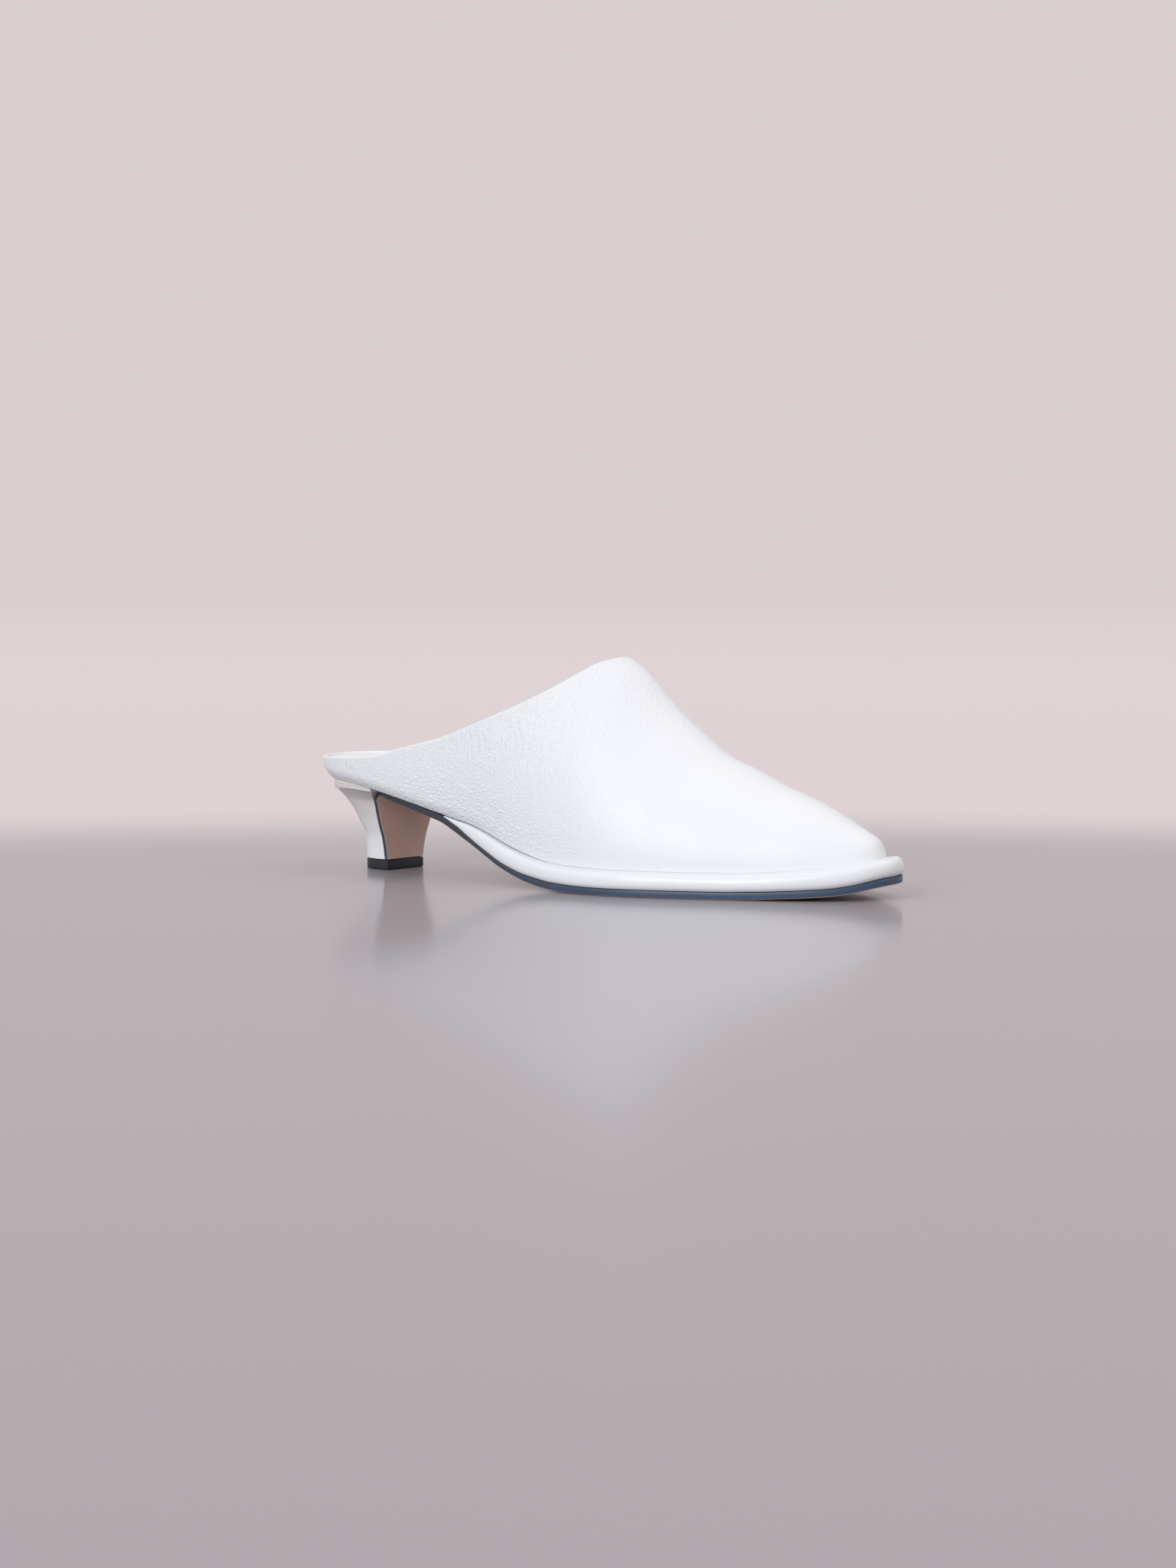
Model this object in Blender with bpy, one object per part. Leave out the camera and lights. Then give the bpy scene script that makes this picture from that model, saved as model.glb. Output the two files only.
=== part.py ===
"""A kitten heel mule: one right shoe that stands on its forepart and its heel.

The frame has +X towards the toe, +Y towards the inner side of the foot and +Z up. Lengths are in metres.
Every piece is worked out from the last: its feather line, where the upper meets the sole, and its crest.
Tables hold shares of the named sizes, and "along" runs from 0 at the back of the feather line to 1 at the toe.
"""

from collections import namedtuple

import bmesh
import bpy
import numpy as np

# The last
LAST_LENGTH = 0.2475  # along the feather line, heel to toe
BALL_WIDTH = 0.0723  # of the feather line
INSTEP_HEIGHT = 0.0867  # from the floor to the crest, at the instep
SEAT_HEIGHT = 0.0361  # from the floor to the feather line, at the back of the heel
TOE_SPRING = 0.0067  # of the feather line
SPRING_SKEW = 0.35  # the spring rises more towards the inner side: how far ahead that side is, per width
THROAT_REACH = 0.1365  # from the back of the feather line to the front of the opening
BACK_RIM = 0.0078  # height of the upper behind the heel, above the feather line
HEEL_SWELL = 0.0024  # how far the upper swells out over the feather line
HEEL_SWELL_HEIGHT = 0.0045

# Walls and layers
CLEARANCE = 0.0003  # left between pieces that meet
UPPER_WALL = 0.0018
INSOLE_HEEL_THICKNESS = 0.0065
INSOLE_TOE_THICKNESS = 0.0028
INSOLE_EDGE_BEVEL = 0.0009
INSOLE_TOE_INSET = 0.011  # room under the toe's roof
RAND_HEIGHT = 0.0056
RAND_REACH = 0.0067  # past the feather line, at the toe
SOLE_THICKNESS = 0.0030
SOLE_REACH = 0.0062
SOLE_EDGE_BEVEL = 0.0005
FLAP_THICKNESS = 0.0012  # of the sole where it runs down the front of the heel

# The heel
BREAST_PLACE = 0.0295  # front face of the heel, from the back of the feather line
FLAP_BEND = 0.0095  # how far in front of that face the sole bends down
FLAP_BEND_DROP = 0.005  # how far below the waist the bend is over
BEND_LOWER_HANDLE = 0.85  # share of that drop
BEND_UPPER_HANDLE = 0.35  # share of the bend's reach in front of the heel
SEAT_RAND_THICKNESS = 0.0042  # at the back
SEAT_RAND_FRONT_THICKNESS = 0.0010
SEAT_RAND_LENGTH = 0.0335
SEAT_RAND_INSET = 0.0006
HEEL_SEAT_INSET = 0.0014
HEEL_SEAT_WIDTH = 0.0475
HEEL_TIP_LENGTH = 0.0154
HEEL_TIP_WIDTH = 0.0216
HEEL_TIP_OFFSET = 0.0013  # of its middle, towards the outer side
TOP_PIECE_HEIGHT = 0.0040

Feather = namedtuple("Feather", "along lateral medial")  # shares of the ball width
Profile = namedtuple("Profile", "along rise")  # share of the seat's rise over the tread, or of the toe spring
Crest = namedtuple("Crest", "along rise across")  # shares of the instep's rise and of the ball width
Topline = namedtuple("Topline", "along rise")  # shares of the throat's reach and of its rise
Section = namedtuple("Section", "along bulge crown swell")  # shares of height, half width and heel swell
Layer = namedtuple("Layer", "along rand sole reach")  # shares of each layer's own sizes
Insole = namedtuple("Insole", "along thinning inset")  # shares of its thinning and of its toe inset
RandPlan = namedtuple("RandPlan", "along reach")  # share of the rand's reach
Edge = namedtuple("Edge", "reach height")  # shares of the rand's reach and height
HeelRing = namedtuple("HeelRing", "height length width")  # from the tip, 0, to the seat, 1

FEATHER = [
    Feather(0.000, 0.000, 0.000),
    Feather(0.029, 0.237, 0.237),
    Feather(0.070, 0.324, 0.324),
    Feather(0.111, 0.353, 0.353),
    Feather(0.176, 0.360, 0.353),
    Feather(0.236, 0.360, 0.332),
    Feather(0.297, 0.367, 0.311),
    Feather(0.358, 0.387, 0.304),
    Feather(0.418, 0.422, 0.318),
    Feather(0.479, 0.463, 0.360),
    Feather(0.539, 0.505, 0.415),
    Feather(0.600, 0.530, 0.470),
    Feather(0.661, 0.516, 0.512),
    Feather(0.721, 0.456, 0.532),
    Feather(0.782, 0.367, 0.528),
    Feather(0.842, 0.267, 0.503),
    Feather(0.900, 0.166, 0.456),
    Feather(0.940, 0.083, 0.407),
    Feather(0.968, 0.010, 0.347),
    Feather(0.988, -0.060, 0.280),
    Feather(1.000, -0.166, 0.166),
]

SEAT_PROFILE = [
    Profile(0.000, 1.000),
    Profile(0.075, 0.970),
    Profile(0.135, 0.892),
    Profile(0.180, 0.803),
    Profile(0.220, 0.720),
    Profile(0.281, 0.590),
    Profile(0.309, 0.537),
    Profile(0.343, 0.478),
    Profile(0.367, 0.420),
    Profile(0.392, 0.346),
    Profile(0.416, 0.270),
    Profile(0.441, 0.198),
    Profile(0.467, 0.136),
    Profile(0.491, 0.089),
    Profile(0.515, 0.050),
    Profile(0.545, 0.022),
    Profile(0.590, 0.006),
    Profile(0.632, 0.000),
]

SPRING_PROFILE = [
    Profile(0.790, 0.000),
    Profile(0.834, 0.050),
    Profile(0.879, 0.185),
    Profile(0.913, 0.280),
    Profile(0.947, 0.380),
    Profile(0.978, 0.530),
    Profile(1.019, 0.860),
    Profile(1.032, 0.950),
    Profile(1.046, 1.000),
]

INSTEP_ALONG = 0.5515
CREST = [
    Crest(0.000, 1.000, 0.000),
    Crest(0.193, 1.125, 0.010),
    Crest(0.317, 1.210, 0.020),
    Crest(0.399, 1.210, 0.030),
    Crest(0.479, 1.120, 0.040),
    Crest(0.519, 1.052, 0.045),
    Crest(INSTEP_ALONG, 1.000, 0.048),
    Crest(0.570, 0.972, 0.053),
    Crest(0.590, 0.918, 0.060),
    Crest(0.640, 0.752, 0.075),
    Crest(0.686, 0.632, 0.088),
    Crest(0.721, 0.547, 0.098),
    Crest(0.762, 0.493, 0.110),
    Crest(0.822, 0.402, 0.125),
    Crest(0.883, 0.316, 0.140),
    Crest(0.940, 0.210, 0.152),
    Crest(0.968, 0.151, 0.158),
    Crest(0.988, 0.106, 0.162),
    Crest(1.000, 0.000, 0.166),
]

TOPLINE = [
    Topline(0.000, 0.000),
    Topline(0.077, 0.005),
    Topline(0.194, 0.040),
    Topline(0.257, 0.071),
    Topline(0.308, 0.113),
    Topline(0.359, 0.164),
    Topline(0.429, 0.230),
    Topline(0.541, 0.336),
    Topline(0.615, 0.417),
    Topline(0.692, 0.513),
    Topline(0.795, 0.668),
    Topline(0.883, 0.807),
    Topline(0.934, 0.900),
    Topline(0.963, 0.958),
    Topline(1.000, 1.000),
]

SECTIONS = [
    Section(0.000, 0.16, 0.38, 1.00),
    Section(0.111, 0.10, 0.38, 0.85),
    Section(0.235, 0.08, 0.38, 0.75),
    Section(0.358, 0.08, 0.38, 0.60),
    Section(0.440, 0.07, 0.38, 0.30),
    Section(0.564, 0.05, 0.38, 0.00),
    Section(0.750, 0.06, 0.42, 0.00),
    Section(0.880, 0.06, 0.46, 0.00),
    Section(1.000, 0.06, 0.50, 0.00),
]
SECTION_RISE = 0.5  # height of the section's lower handle

LAYERS = [
    Layer(0.150, 0.00, 0.97, -0.64),
    Layer(0.193, 0.00, 1.00, -0.40),
    Layer(0.275, 0.00, 1.00, -0.09),
    Layer(0.319, 0.32, 0.97, 0.12),
    Layer(0.345, 0.66, 0.80, 0.22),
    Layer(0.371, 0.88, 0.71, 0.31),
    Layer(0.398, 1.00, 0.69, 0.42),
    Layer(0.437, 1.08, 0.72, 0.53),
    Layer(0.475, 1.07, 0.85, 0.57),
    Layer(0.515, 1.00, 1.00, 0.60),
    Layer(0.605, 1.00, 1.00, 0.63),
    Layer(0.850, 1.00, 1.00, 0.80),
    Layer(0.920, 1.11, 1.00, 0.88),
    Layer(1.000, 1.17, 1.00, 1.00),
]
RAND_START_ALONG = 0.290

INSOLE = [
    Insole(0.00, 0.00, 0.00),
    Insole(0.30, 0.20, 0.00),
    Insole(0.55, 0.75, 0.00),
    Insole(0.78, 0.92, 0.26),
    Insole(1.00, 1.00, 1.00),
]

RAND_PLAN = [
    RandPlan(RAND_START_ALONG, 0.05),
    RandPlan(0.360, 0.36),
    RandPlan(0.440, 0.58),
    RandPlan(0.605, 0.69),
    RandPlan(0.850, 0.82),
    RandPlan(1.000, 1.00),
]

RAND_EDGE = [
    Edge(0.82, 0.00),
    Edge(0.97, 0.18),
    Edge(1.00, 0.45),
    Edge(0.92, 0.75),
    Edge(0.70, 0.95),
    Edge(0.35, 1.00),
]

HEEL_RINGS = [
    HeelRing(0.00, 0.000, 0.000),
    HeelRing(0.16, -0.032, 0.060),
    HeelRing(0.32, -0.035, 0.150),
    HeelRing(0.50, 0.135, 0.310),
    HeelRing(0.67, 0.355, 0.430),
    HeelRing(0.83, 0.677, 0.540),
    HeelRing(1.00, 1.000, 1.000),
]
HEEL_ROUNDNESS = 2.2  # exponent of the rings' outline: 2 is an ellipse

# How finely the pieces are divided
UPPER_ROWS = 12
ROW_CROWDING = 1.35  # towards the feather line
BACK_COLUMNS = 24
FRONT_COLUMNS = 20
FRONT_CROWDING = 1.2  # towards the opening
PLATE_STATIONS = 34
HEEL_STATIONS = 14
HEEL_LEVELS = 12
FLAP_STATIONS = 5
BEND_STATIONS = 8
TOPLINE_STEPS = 4001
FRONT_PASSES = 12  # to settle where the heel's sloping rings meet its front
SHARP_ANGLE = np.radians(40)
WELD_DISTANCE = 1e-6

LATERAL, MEDIAL = -1, 1
SIDES = (LATERAL, MEDIAL)
SMALL = 1e-4  # a step of a share, for slopes

# Colour, roughness
WHITE_LEATHER = ("white leather", (0.82, 0.83, 0.85), 0.48)
WHITE_LINING = ("white lining", (0.80, 0.81, 0.83), 0.60)
WRAPPED_RAND = ("wrapped rand", (0.80, 0.81, 0.83), 0.38)
WRAPPED_HEEL = ("wrapped heel", (0.80, 0.81, 0.83), 0.25)
EDGE_PAINT = ("sole edge paint", (0.045, 0.065, 0.095), 0.45)
SOLE_LEATHER = ("sole leather", (0.42, 0.27, 0.20), 0.40)
SEAT_LEATHER = ("seat leather", (0.62, 0.56, 0.50), 0.55)
TIP_RUBBER = ("tip rubber", (0.02, 0.024, 0.035), 0.65)


def column(table, name):
    return np.array([getattr(row, name) for row in table])


def smooth_curve(places, values):
    """A natural cubic through the points, level past its ends."""
    step = np.diff(places)
    slope = np.diff(values) / step
    last = len(places) - 1
    system = np.eye(last + 1)
    bends = np.zeros(last + 1)
    for i in range(1, last):
        system[i, i - 1 : i + 2] = step[i - 1], 2 * (step[i - 1] + step[i]), step[i]
        bends[i] = 6 * (slope[i] - slope[i - 1])
    bend = np.linalg.solve(system, bends)

    def curve(place):
        place = np.clip(place, places[0], places[-1])
        i = np.clip(np.searchsorted(places, place) - 1, 0, last - 1)
        gone = place - places[i]
        left = places[i + 1] - place
        cubic = (bend[i] * left**3 + bend[i + 1] * gone**3) / (6 * step[i])
        before = (values[i] / step[i] - bend[i] * step[i] / 6) * left
        after = (values[i + 1] / step[i] - bend[i + 1] * step[i] / 6) * gone
        return cubic + before + after

    return curve


def steady_curve(places, values):
    """A cubic through the points that never overshoots them, so level rows stay level."""
    step = np.diff(places)
    slope = np.diff(values) / step
    tangent = np.zeros(len(places))
    tangent[0] = slope[0]
    tangent[-1] = slope[-1]
    for i in range(1, len(places) - 1):
        if slope[i - 1] * slope[i] > 0:
            before = 2 * step[i] + step[i - 1]
            after = step[i] + 2 * step[i - 1]
            tangent[i] = (before + after) / (before / slope[i - 1] + after / slope[i])

    def curve(place):
        place = np.clip(place, places[0], places[-1])
        i = np.clip(np.searchsorted(places, place) - 1, 0, len(step) - 1)
        s = (place - places[i]) / step[i]
        ends = values[i] * (1 + 2 * s) * (1 - s) ** 2 + values[i + 1] * s**2 * (3 - 2 * s)
        return ends + step[i] * s * (1 - s) * (tangent[i] * (1 - s) - tangent[i + 1] * s)

    return curve


def turn_of(along):
    """A share of the length as a share of a half turn, in which round ends are straight."""
    return np.arccos(1 - 2 * np.clip(along, 0, 1)) / np.pi


def along_of(turn):
    return (1 - np.cos(np.pi * turn)) / 2


def table_curve(table, name, make=steady_curve, place=lambda along: along):
    return make(place(column(table, "along")), column(table, name))


half_width = {
    LATERAL: table_curve(FEATHER, "lateral", smooth_curve, turn_of),
    MEDIAL: table_curve(FEATHER, "medial", smooth_curve, turn_of),
}
seat_share = table_curve(SEAT_PROFILE, "rise")
spring_share = table_curve(SPRING_PROFILE, "rise")
crest_share = table_curve(CREST, "rise", smooth_curve, turn_of)
crest_across = table_curve(CREST, "across", smooth_curve, turn_of)
topline_share = table_curve(TOPLINE, "rise", smooth_curve)
section_bulge = table_curve(SECTIONS, "bulge")
section_crown = table_curve(SECTIONS, "crown")
section_swell = table_curve(SECTIONS, "swell")
rand_share = table_curve(LAYERS, "rand")
sole_share = table_curve(LAYERS, "sole")
reach_share = table_curve(LAYERS, "reach")
insole_share = table_curve(INSOLE, "thinning")
insole_inset_share = table_curve(INSOLE, "inset")
rand_reach_share = table_curve(RAND_PLAN, "reach")
ring_length = steady_curve(column(HEEL_RINGS, "height"), column(HEEL_RINGS, "length"))
ring_width = steady_curve(column(HEEL_RINGS, "height"), column(HEEL_RINGS, "width"))

TREAD_RISE = SOLE_THICKNESS + RAND_HEIGHT + 2 * CLEARANCE  # feather line above the floor, at the tread
THROAT_TURN = turn_of(THROAT_REACH / LAST_LENGTH)
HEEL_BOTTOM = TOP_PIECE_HEIGHT + CLEARANCE


def feather_height(x, y=0.0):
    rise = (SEAT_HEIGHT - TREAD_RISE) * seat_share(x / LAST_LENGTH)
    return TREAD_RISE + rise + TOE_SPRING * spring_share((x + SPRING_SKEW * y) / LAST_LENGTH)


def feather_plan(turn, side):
    """The feather line seen from above."""
    x = LAST_LENGTH * along_of(turn)
    return np.stack([x, side * BALL_WIDTH * half_width[side](turn)], axis=-1)


def feather_outward(turn, side):
    """The level direction that points away from the foot."""
    ahead = feather_plan(turn + SMALL, side) - feather_plan(turn - SMALL, side)
    outward = side * np.stack([-ahead[..., 1], ahead[..., 0]], axis=-1)
    return outward / np.linalg.norm(outward, axis=-1, keepdims=True)


def outline(turn, side, reach):
    """The feather line moved outward by a reach, seen from above."""
    reach = np.broadcast_to(reach, np.shape(turn))
    return feather_plan(turn, side) + feather_outward(turn, side) * reach[..., None]


def crest_rise(turn):
    instep = INSTEP_HEIGHT - feather_height(INSTEP_ALONG * LAST_LENGTH)
    return instep * crest_share(turn)


def topline_rise(turn):
    """Height of the opening's edge above the feather line."""
    share = topline_share(LAST_LENGTH * along_of(turn) / THROAT_REACH)
    return BACK_RIM + (crest_rise(THROAT_TURN) - BACK_RIM) * share


def section_height(t):
    """Height along a section, as a share: t is 0 at the feather line and 1 at the crest."""
    return 3 * (1 - t) ** 2 * t * SECTION_RISE + 3 * (1 - t) * t**2 + t**3


def topline_place(turn):
    """Where the opening cuts each section, as its t."""
    t = np.linspace(0, 1, TOPLINE_STEPS)
    share = np.clip(topline_rise(turn) / np.maximum(crest_rise(turn), BACK_RIM), 0, 1)
    behind = along_of(turn) * LAST_LENGTH < THROAT_REACH - SMALL * LAST_LENGTH
    return np.where(behind, np.interp(share, section_height(t), t), 1.0)


def upper_face(turn, side, t):
    """Points of the upper's outer face."""
    along = along_of(turn)
    foot = feather_plan(turn, side)
    rise = crest_rise(turn)
    height = rise * section_height(t)
    low = 1 - np.clip(height / HEEL_SWELL_HEIGHT, 0, 1)
    swell = 3 * (1 - t) ** 2 * t * section_bulge(along) * rise
    swell = swell + HEEL_SWELL * section_swell(along) * (1 - low**2) * (1 - t) ** 2
    inward = 3 * (1 - t) * t**2 * (1 - section_crown(along)) + t**3
    crest_y = BALL_WIDTH * crest_across(turn)
    point = np.empty(np.shape(turn) + (3,))
    point[..., :2] = foot + feather_outward(turn, side) * swell[..., None]
    point[..., 1] += (crest_y - foot[..., 1]) * inward
    point[..., 2] = feather_height(point[..., 0], point[..., 1]) + height
    return point


def upper_outward(turn, side, t):
    """Unit normals of the outer face, level along the feather line and straight ahead at the toe."""
    along = upper_face(turn + SMALL, side, t) - upper_face(turn - SMALL, side, t)
    up = upper_face(turn, side, t + SMALL) - upper_face(turn, side, t - SMALL)
    normal = -side * np.cross(along, up)
    level = np.zeros(normal.shape)
    level[..., :2] = feather_outward(turn, side)
    normal = np.where((t < SMALL)[..., None], level, normal)
    normal = np.where((turn > 1 - SMALL)[..., None], (1.0, 0.0, 0.0), normal)
    return normal / np.linalg.norm(normal, axis=-1, keepdims=True)


def upper_grid(depth):
    """Columns of points from the toe round the heel to the toe, at a depth below the outer face."""
    back = turn_of(THROAT_REACH / LAST_LENGTH * along_of(np.linspace(0, 1, BACK_COLUMNS + 1)))
    front = THROAT_TURN + (1 - THROAT_TURN) * np.linspace(0, 1, FRONT_COLUMNS + 1) ** FRONT_CROWDING
    turns = np.concatenate([back, front[1:]])
    t = topline_place(turns)[:, None] * np.linspace(0, 1, UPPER_ROWS + 1) ** ROW_CROWDING
    turn = np.broadcast_to(turns[:, None], t.shape)
    halves = [upper_face(turn, side, t) - depth * upper_outward(turn, side, t) for side in SIDES]
    return np.concatenate([halves[0][::-1], halves[1][1:]])


def welded_object(name, points, faces, materials, collection):
    """A mesh object from faces whose last entry is the material's place."""
    mesh = bpy.data.meshes.new(name)
    shape = bmesh.new()
    verts = [shape.verts.new(point) for point in points]
    for corners in faces:
        face = shape.faces.new([verts[i] for i in corners[:-1]])
        face.material_index = corners[-1]
    bmesh.ops.remove_doubles(shape, verts=shape.verts, dist=WELD_DISTANCE)
    bmesh.ops.dissolve_degenerate(shape, edges=shape.edges, dist=WELD_DISTANCE)
    bmesh.ops.recalc_face_normals(shape, faces=shape.faces)
    shape.to_mesh(mesh)
    shape.free()
    mesh.shade_smooth()
    mesh.set_sharp_from_angle(angle=SHARP_ANGLE)
    for kind in materials:
        mesh.materials.append(material(*kind))
    part = bpy.data.objects.new(name, mesh)
    collection.objects.link(part)
    return part


def material(name, colour, roughness):
    if name in bpy.data.materials:
        return bpy.data.materials[name]
    made = bpy.data.materials.new(name)
    made.use_nodes = True
    shader = made.node_tree.nodes["Principled BSDF"]
    shader.inputs["Base Color"].default_value = (*colour, 1.0)
    shader.inputs["Roughness"].default_value = roughness
    shader.inputs["Metallic"].default_value = 0.0
    return made


def layered_object(name, layers, materials, collection):
    """A solid between layers, bottom first. Each layer holds its lateral and its medial points, heel first.

    The first material is for the edges and the last one for the flat faces.
    """
    points = np.array(layers)
    index = np.arange(points[..., 0].size).reshape(points.shape[:3])
    caps = len(materials) - 1
    faces = []
    for lower, upper in zip(index, index[1:]):
        for low, high in zip(lower, upper):
            faces += [(*quad, 0) for quad in zip(low, low[1:], high[1:], high)]
        for end in (0, -1):
            faces.append((lower[0][end], lower[1][end], upper[1][end], upper[0][end], 0))
    for lateral, medial in (index[0], index[-1]):
        faces += [(*quad, caps) for quad in zip(lateral, lateral[1:], medial[1:], medial)]
    return welded_object(name, points.reshape(-1, 3), faces, materials, collection)


def plate_layer(turns, reach, height):
    """One layer of a plate that follows the last: its outline at a reach, and its height at each place."""
    layer = []
    for side in SIDES:
        plan = outline(turns, side, reach)
        layer.append(np.column_stack([plan, height(*plan.T)]))
    return layer


def make_upper(collection):
    outer = upper_grid(0)
    inner = upper_grid(UPPER_WALL)
    columns, rows = outer.shape[:2]
    points = np.concatenate([outer.reshape(-1, 3), inner.reshape(-1, 3)])
    out, within = np.arange(len(points)).reshape(2, columns, rows)
    faces = []
    for i in range(columns - 1):
        for grid in (out, within):
            faces += [(*quad, 0) for quad in zip(grid[i], grid[i + 1], grid[i + 1][1:], grid[i][1:])]
        faces.append((out[i][0], out[i + 1][0], within[i + 1][0], within[i][0], 0))
        if FRONT_COLUMNS <= i < columns - 1 - FRONT_COLUMNS:
            faces.append((out[i][-1], out[i + 1][-1], within[i + 1][-1], within[i][-1], 0))
    return welded_object("upper", points, faces, [WHITE_LEATHER], collection)


def insole_inset(turns):
    """Room for the wall, and for the toe's roof where it comes down."""
    return UPPER_WALL + CLEARANCE + INSOLE_TOE_INSET * insole_inset_share(along_of(turns))


def insole_top(x, y):
    thinning = (INSOLE_TOE_THICKNESS - INSOLE_HEEL_THICKNESS) * insole_share(x / LAST_LENGTH)
    return feather_height(x, y) + INSOLE_HEEL_THICKNESS + thinning


def make_insole(collection):
    turns = np.linspace(0, 1, PLATE_STATIONS)
    inset = insole_inset(turns)
    layers = [
        plate_layer(turns, -inset, feather_height),
        plate_layer(turns, -inset, lambda x, y: insole_top(x, y) - INSOLE_EDGE_BEVEL),
        plate_layer(turns, -inset - INSOLE_EDGE_BEVEL, insole_top),
    ]
    return layered_object("insole", layers, [WHITE_LINING], collection)


def rand_top(x, y=0.0):
    return feather_height(x, y) - CLEARANCE


def rand_drop(x):
    """Depth of the rand and the clearance below it."""
    return (RAND_HEIGHT + CLEARANCE) * rand_share(x / LAST_LENGTH)


def sole_top(x, y=0.0):
    return rand_top(x, y) - rand_drop(x)


def make_midsole_rand(collection):
    turns = np.linspace(turn_of(RAND_START_ALONG), 1, PLATE_STATIONS)
    along = along_of(turns)
    reach = RAND_REACH * rand_reach_share(along)

    def level(share):
        return lambda x, y: rand_top(x, y) - (rand_drop(x) - CLEARANCE) * (1 - share)

    layers = [plate_layer(turns, reach * edge.reach, level(edge.height)) for edge in RAND_EDGE]
    return layered_object("midsole_rand", layers, [WRAPPED_RAND], collection)


def bezier(handles, t):
    weights = np.stack([(1 - t) ** 3, 3 * (1 - t) ** 2 * t, 3 * (1 - t) * t**2, t**3], axis=-1)
    return weights @ np.array(handles)


def flap_path(gap):
    """The sole's inner face from the tip up the front of the heel and round its bend, as x and z.

    A gap moves it towards the heel. The second result points away from the heel, at each point.
    """
    x = BREAST_PLACE + CLEARANCE
    end_x = BREAST_PLACE + FLAP_BEND
    end_z = sole_top(end_x)
    slope = (sole_top(end_x + SMALL) - sole_top(end_x - SMALL)) / (2 * SMALL)
    start_z = end_z - FLAP_BEND_DROP
    handle = BEND_UPPER_HANDLE * FLAP_BEND
    handles = [
        (x, start_z),
        (x, start_z + BEND_LOWER_HANDLE * FLAP_BEND_DROP),
        (end_x - handle, end_z - handle * slope),
        (end_x, end_z),
    ]
    bend = bezier(handles, np.linspace(0, 1, BEND_STATIONS + 1))
    rise = np.linspace(HEEL_BOTTOM, start_z, FLAP_STATIONS + 1)[:-1]
    path = np.concatenate([np.column_stack([np.full(len(rise), x), rise]), bend])
    ahead = np.gradient(path, axis=0)
    ahead[: len(rise)] = (0, 1)
    ahead[-1] = (1, slope)
    away = np.column_stack([ahead[:, 1], -ahead[:, 0]])
    away /= np.linalg.norm(away, axis=1, keepdims=True)
    return path - gap * away, away


def heel_top(x):
    """The heel's seat, under the seat rand."""
    return seat_rand_bottom(x) - CLEARANCE


def seat_rand_bottom(x, y=0.0):
    share = np.clip(x / SEAT_RAND_LENGTH, 0, 1)
    fall = (SEAT_RAND_FRONT_THICKNESS - SEAT_RAND_THICKNESS) * share
    return rand_top(x, y) - SEAT_RAND_THICKNESS - fall


def heel_half_width(level):
    return (HEEL_TIP_WIDTH + (HEEL_SEAT_WIDTH - HEEL_TIP_WIDTH) * ring_width(level)) / 2


def heel_middle(level):
    return LATERAL * HEEL_TIP_OFFSET * (1 - ring_width(level))


def make_outsole(collection):
    path, away = flap_path(0)
    turn_at_bend = turn_of((BREAST_PLACE + FLAP_BEND) / LAST_LENGTH)
    turns = np.linspace(turn_at_bend, 1, PLATE_STATIONS)[1:]
    along = along_of(turns)

    # The flap has the heel's own widths, and widens into the waist over its bend
    level = (path[:, 1] - HEEL_BOTTOM) / (heel_top(BREAST_PLACE) - HEEL_BOTTOM)
    waist = {
        side: outline(turn_at_bend, side, SOLE_REACH * reach_share(along_of(turn_at_bend)))[1]
        for side in SIDES
    }
    bend = np.clip((path[:, 0] - path[0, 0]) / (path[-1, 0] - path[0, 0]), 0, 1)
    thin = FLAP_THICKNESS + bend * (SOLE_THICKNESS * sole_share(along_of(turn_at_bend)) - FLAP_THICKNESS)

    def layer(depth, inset):
        sides = []
        for side in SIDES:
            edge = side * heel_half_width(level) + heel_middle(level)
            y = edge + (waist[side] - edge) * bend - side * inset
            flap = path + away * (thin * depth)[:, None]
            back = np.column_stack([flap[:, 0], y, flap[:, 1]])
            plan = outline(turns, side, SOLE_REACH * reach_share(along) - inset)
            x, y = plan.T
            slope = (sole_top(x + SMALL, y) - sole_top(x - SMALL, y)) / (2 * SMALL)
            thickness = SOLE_THICKNESS * sole_share(along) * depth * np.hypot(1, slope)
            front = np.column_stack([plan, sole_top(x, y) - thickness])
            sides.append(np.concatenate([back, front]))
        return sides

    bevel_depth = 1 - SOLE_EDGE_BEVEL / SOLE_THICKNESS
    layers = [layer(1.0, SOLE_EDGE_BEVEL), layer(bevel_depth, 0), layer(0.0, 0)]
    return layered_object("outsole", layers, [EDGE_PAINT, SOLE_LEATHER], collection)


def make_heel_seat_rand(collection):
    turns = np.linspace(0, turn_of(SEAT_RAND_LENGTH / LAST_LENGTH), HEEL_STATIONS)
    layers = [plate_layer(turns, -SEAT_RAND_INSET, height) for height in (seat_rand_bottom, rand_top)]
    return layered_object("heel_seat_rand", layers, [SEAT_LEATHER], collection)


def heel_outline(back, front, level):
    """A ring's lateral and medial points, from its round back to its flat front."""
    angle = np.linspace(0, np.pi / 2, HEEL_STATIONS)
    power = 2 / HEEL_ROUNDNESS
    x = front - (front - back) * np.cos(angle) ** power
    y = heel_half_width(level) * np.sin(angle) ** power
    return [np.column_stack([x, side * y + heel_middle(level)]) for side in SIDES]


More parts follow.
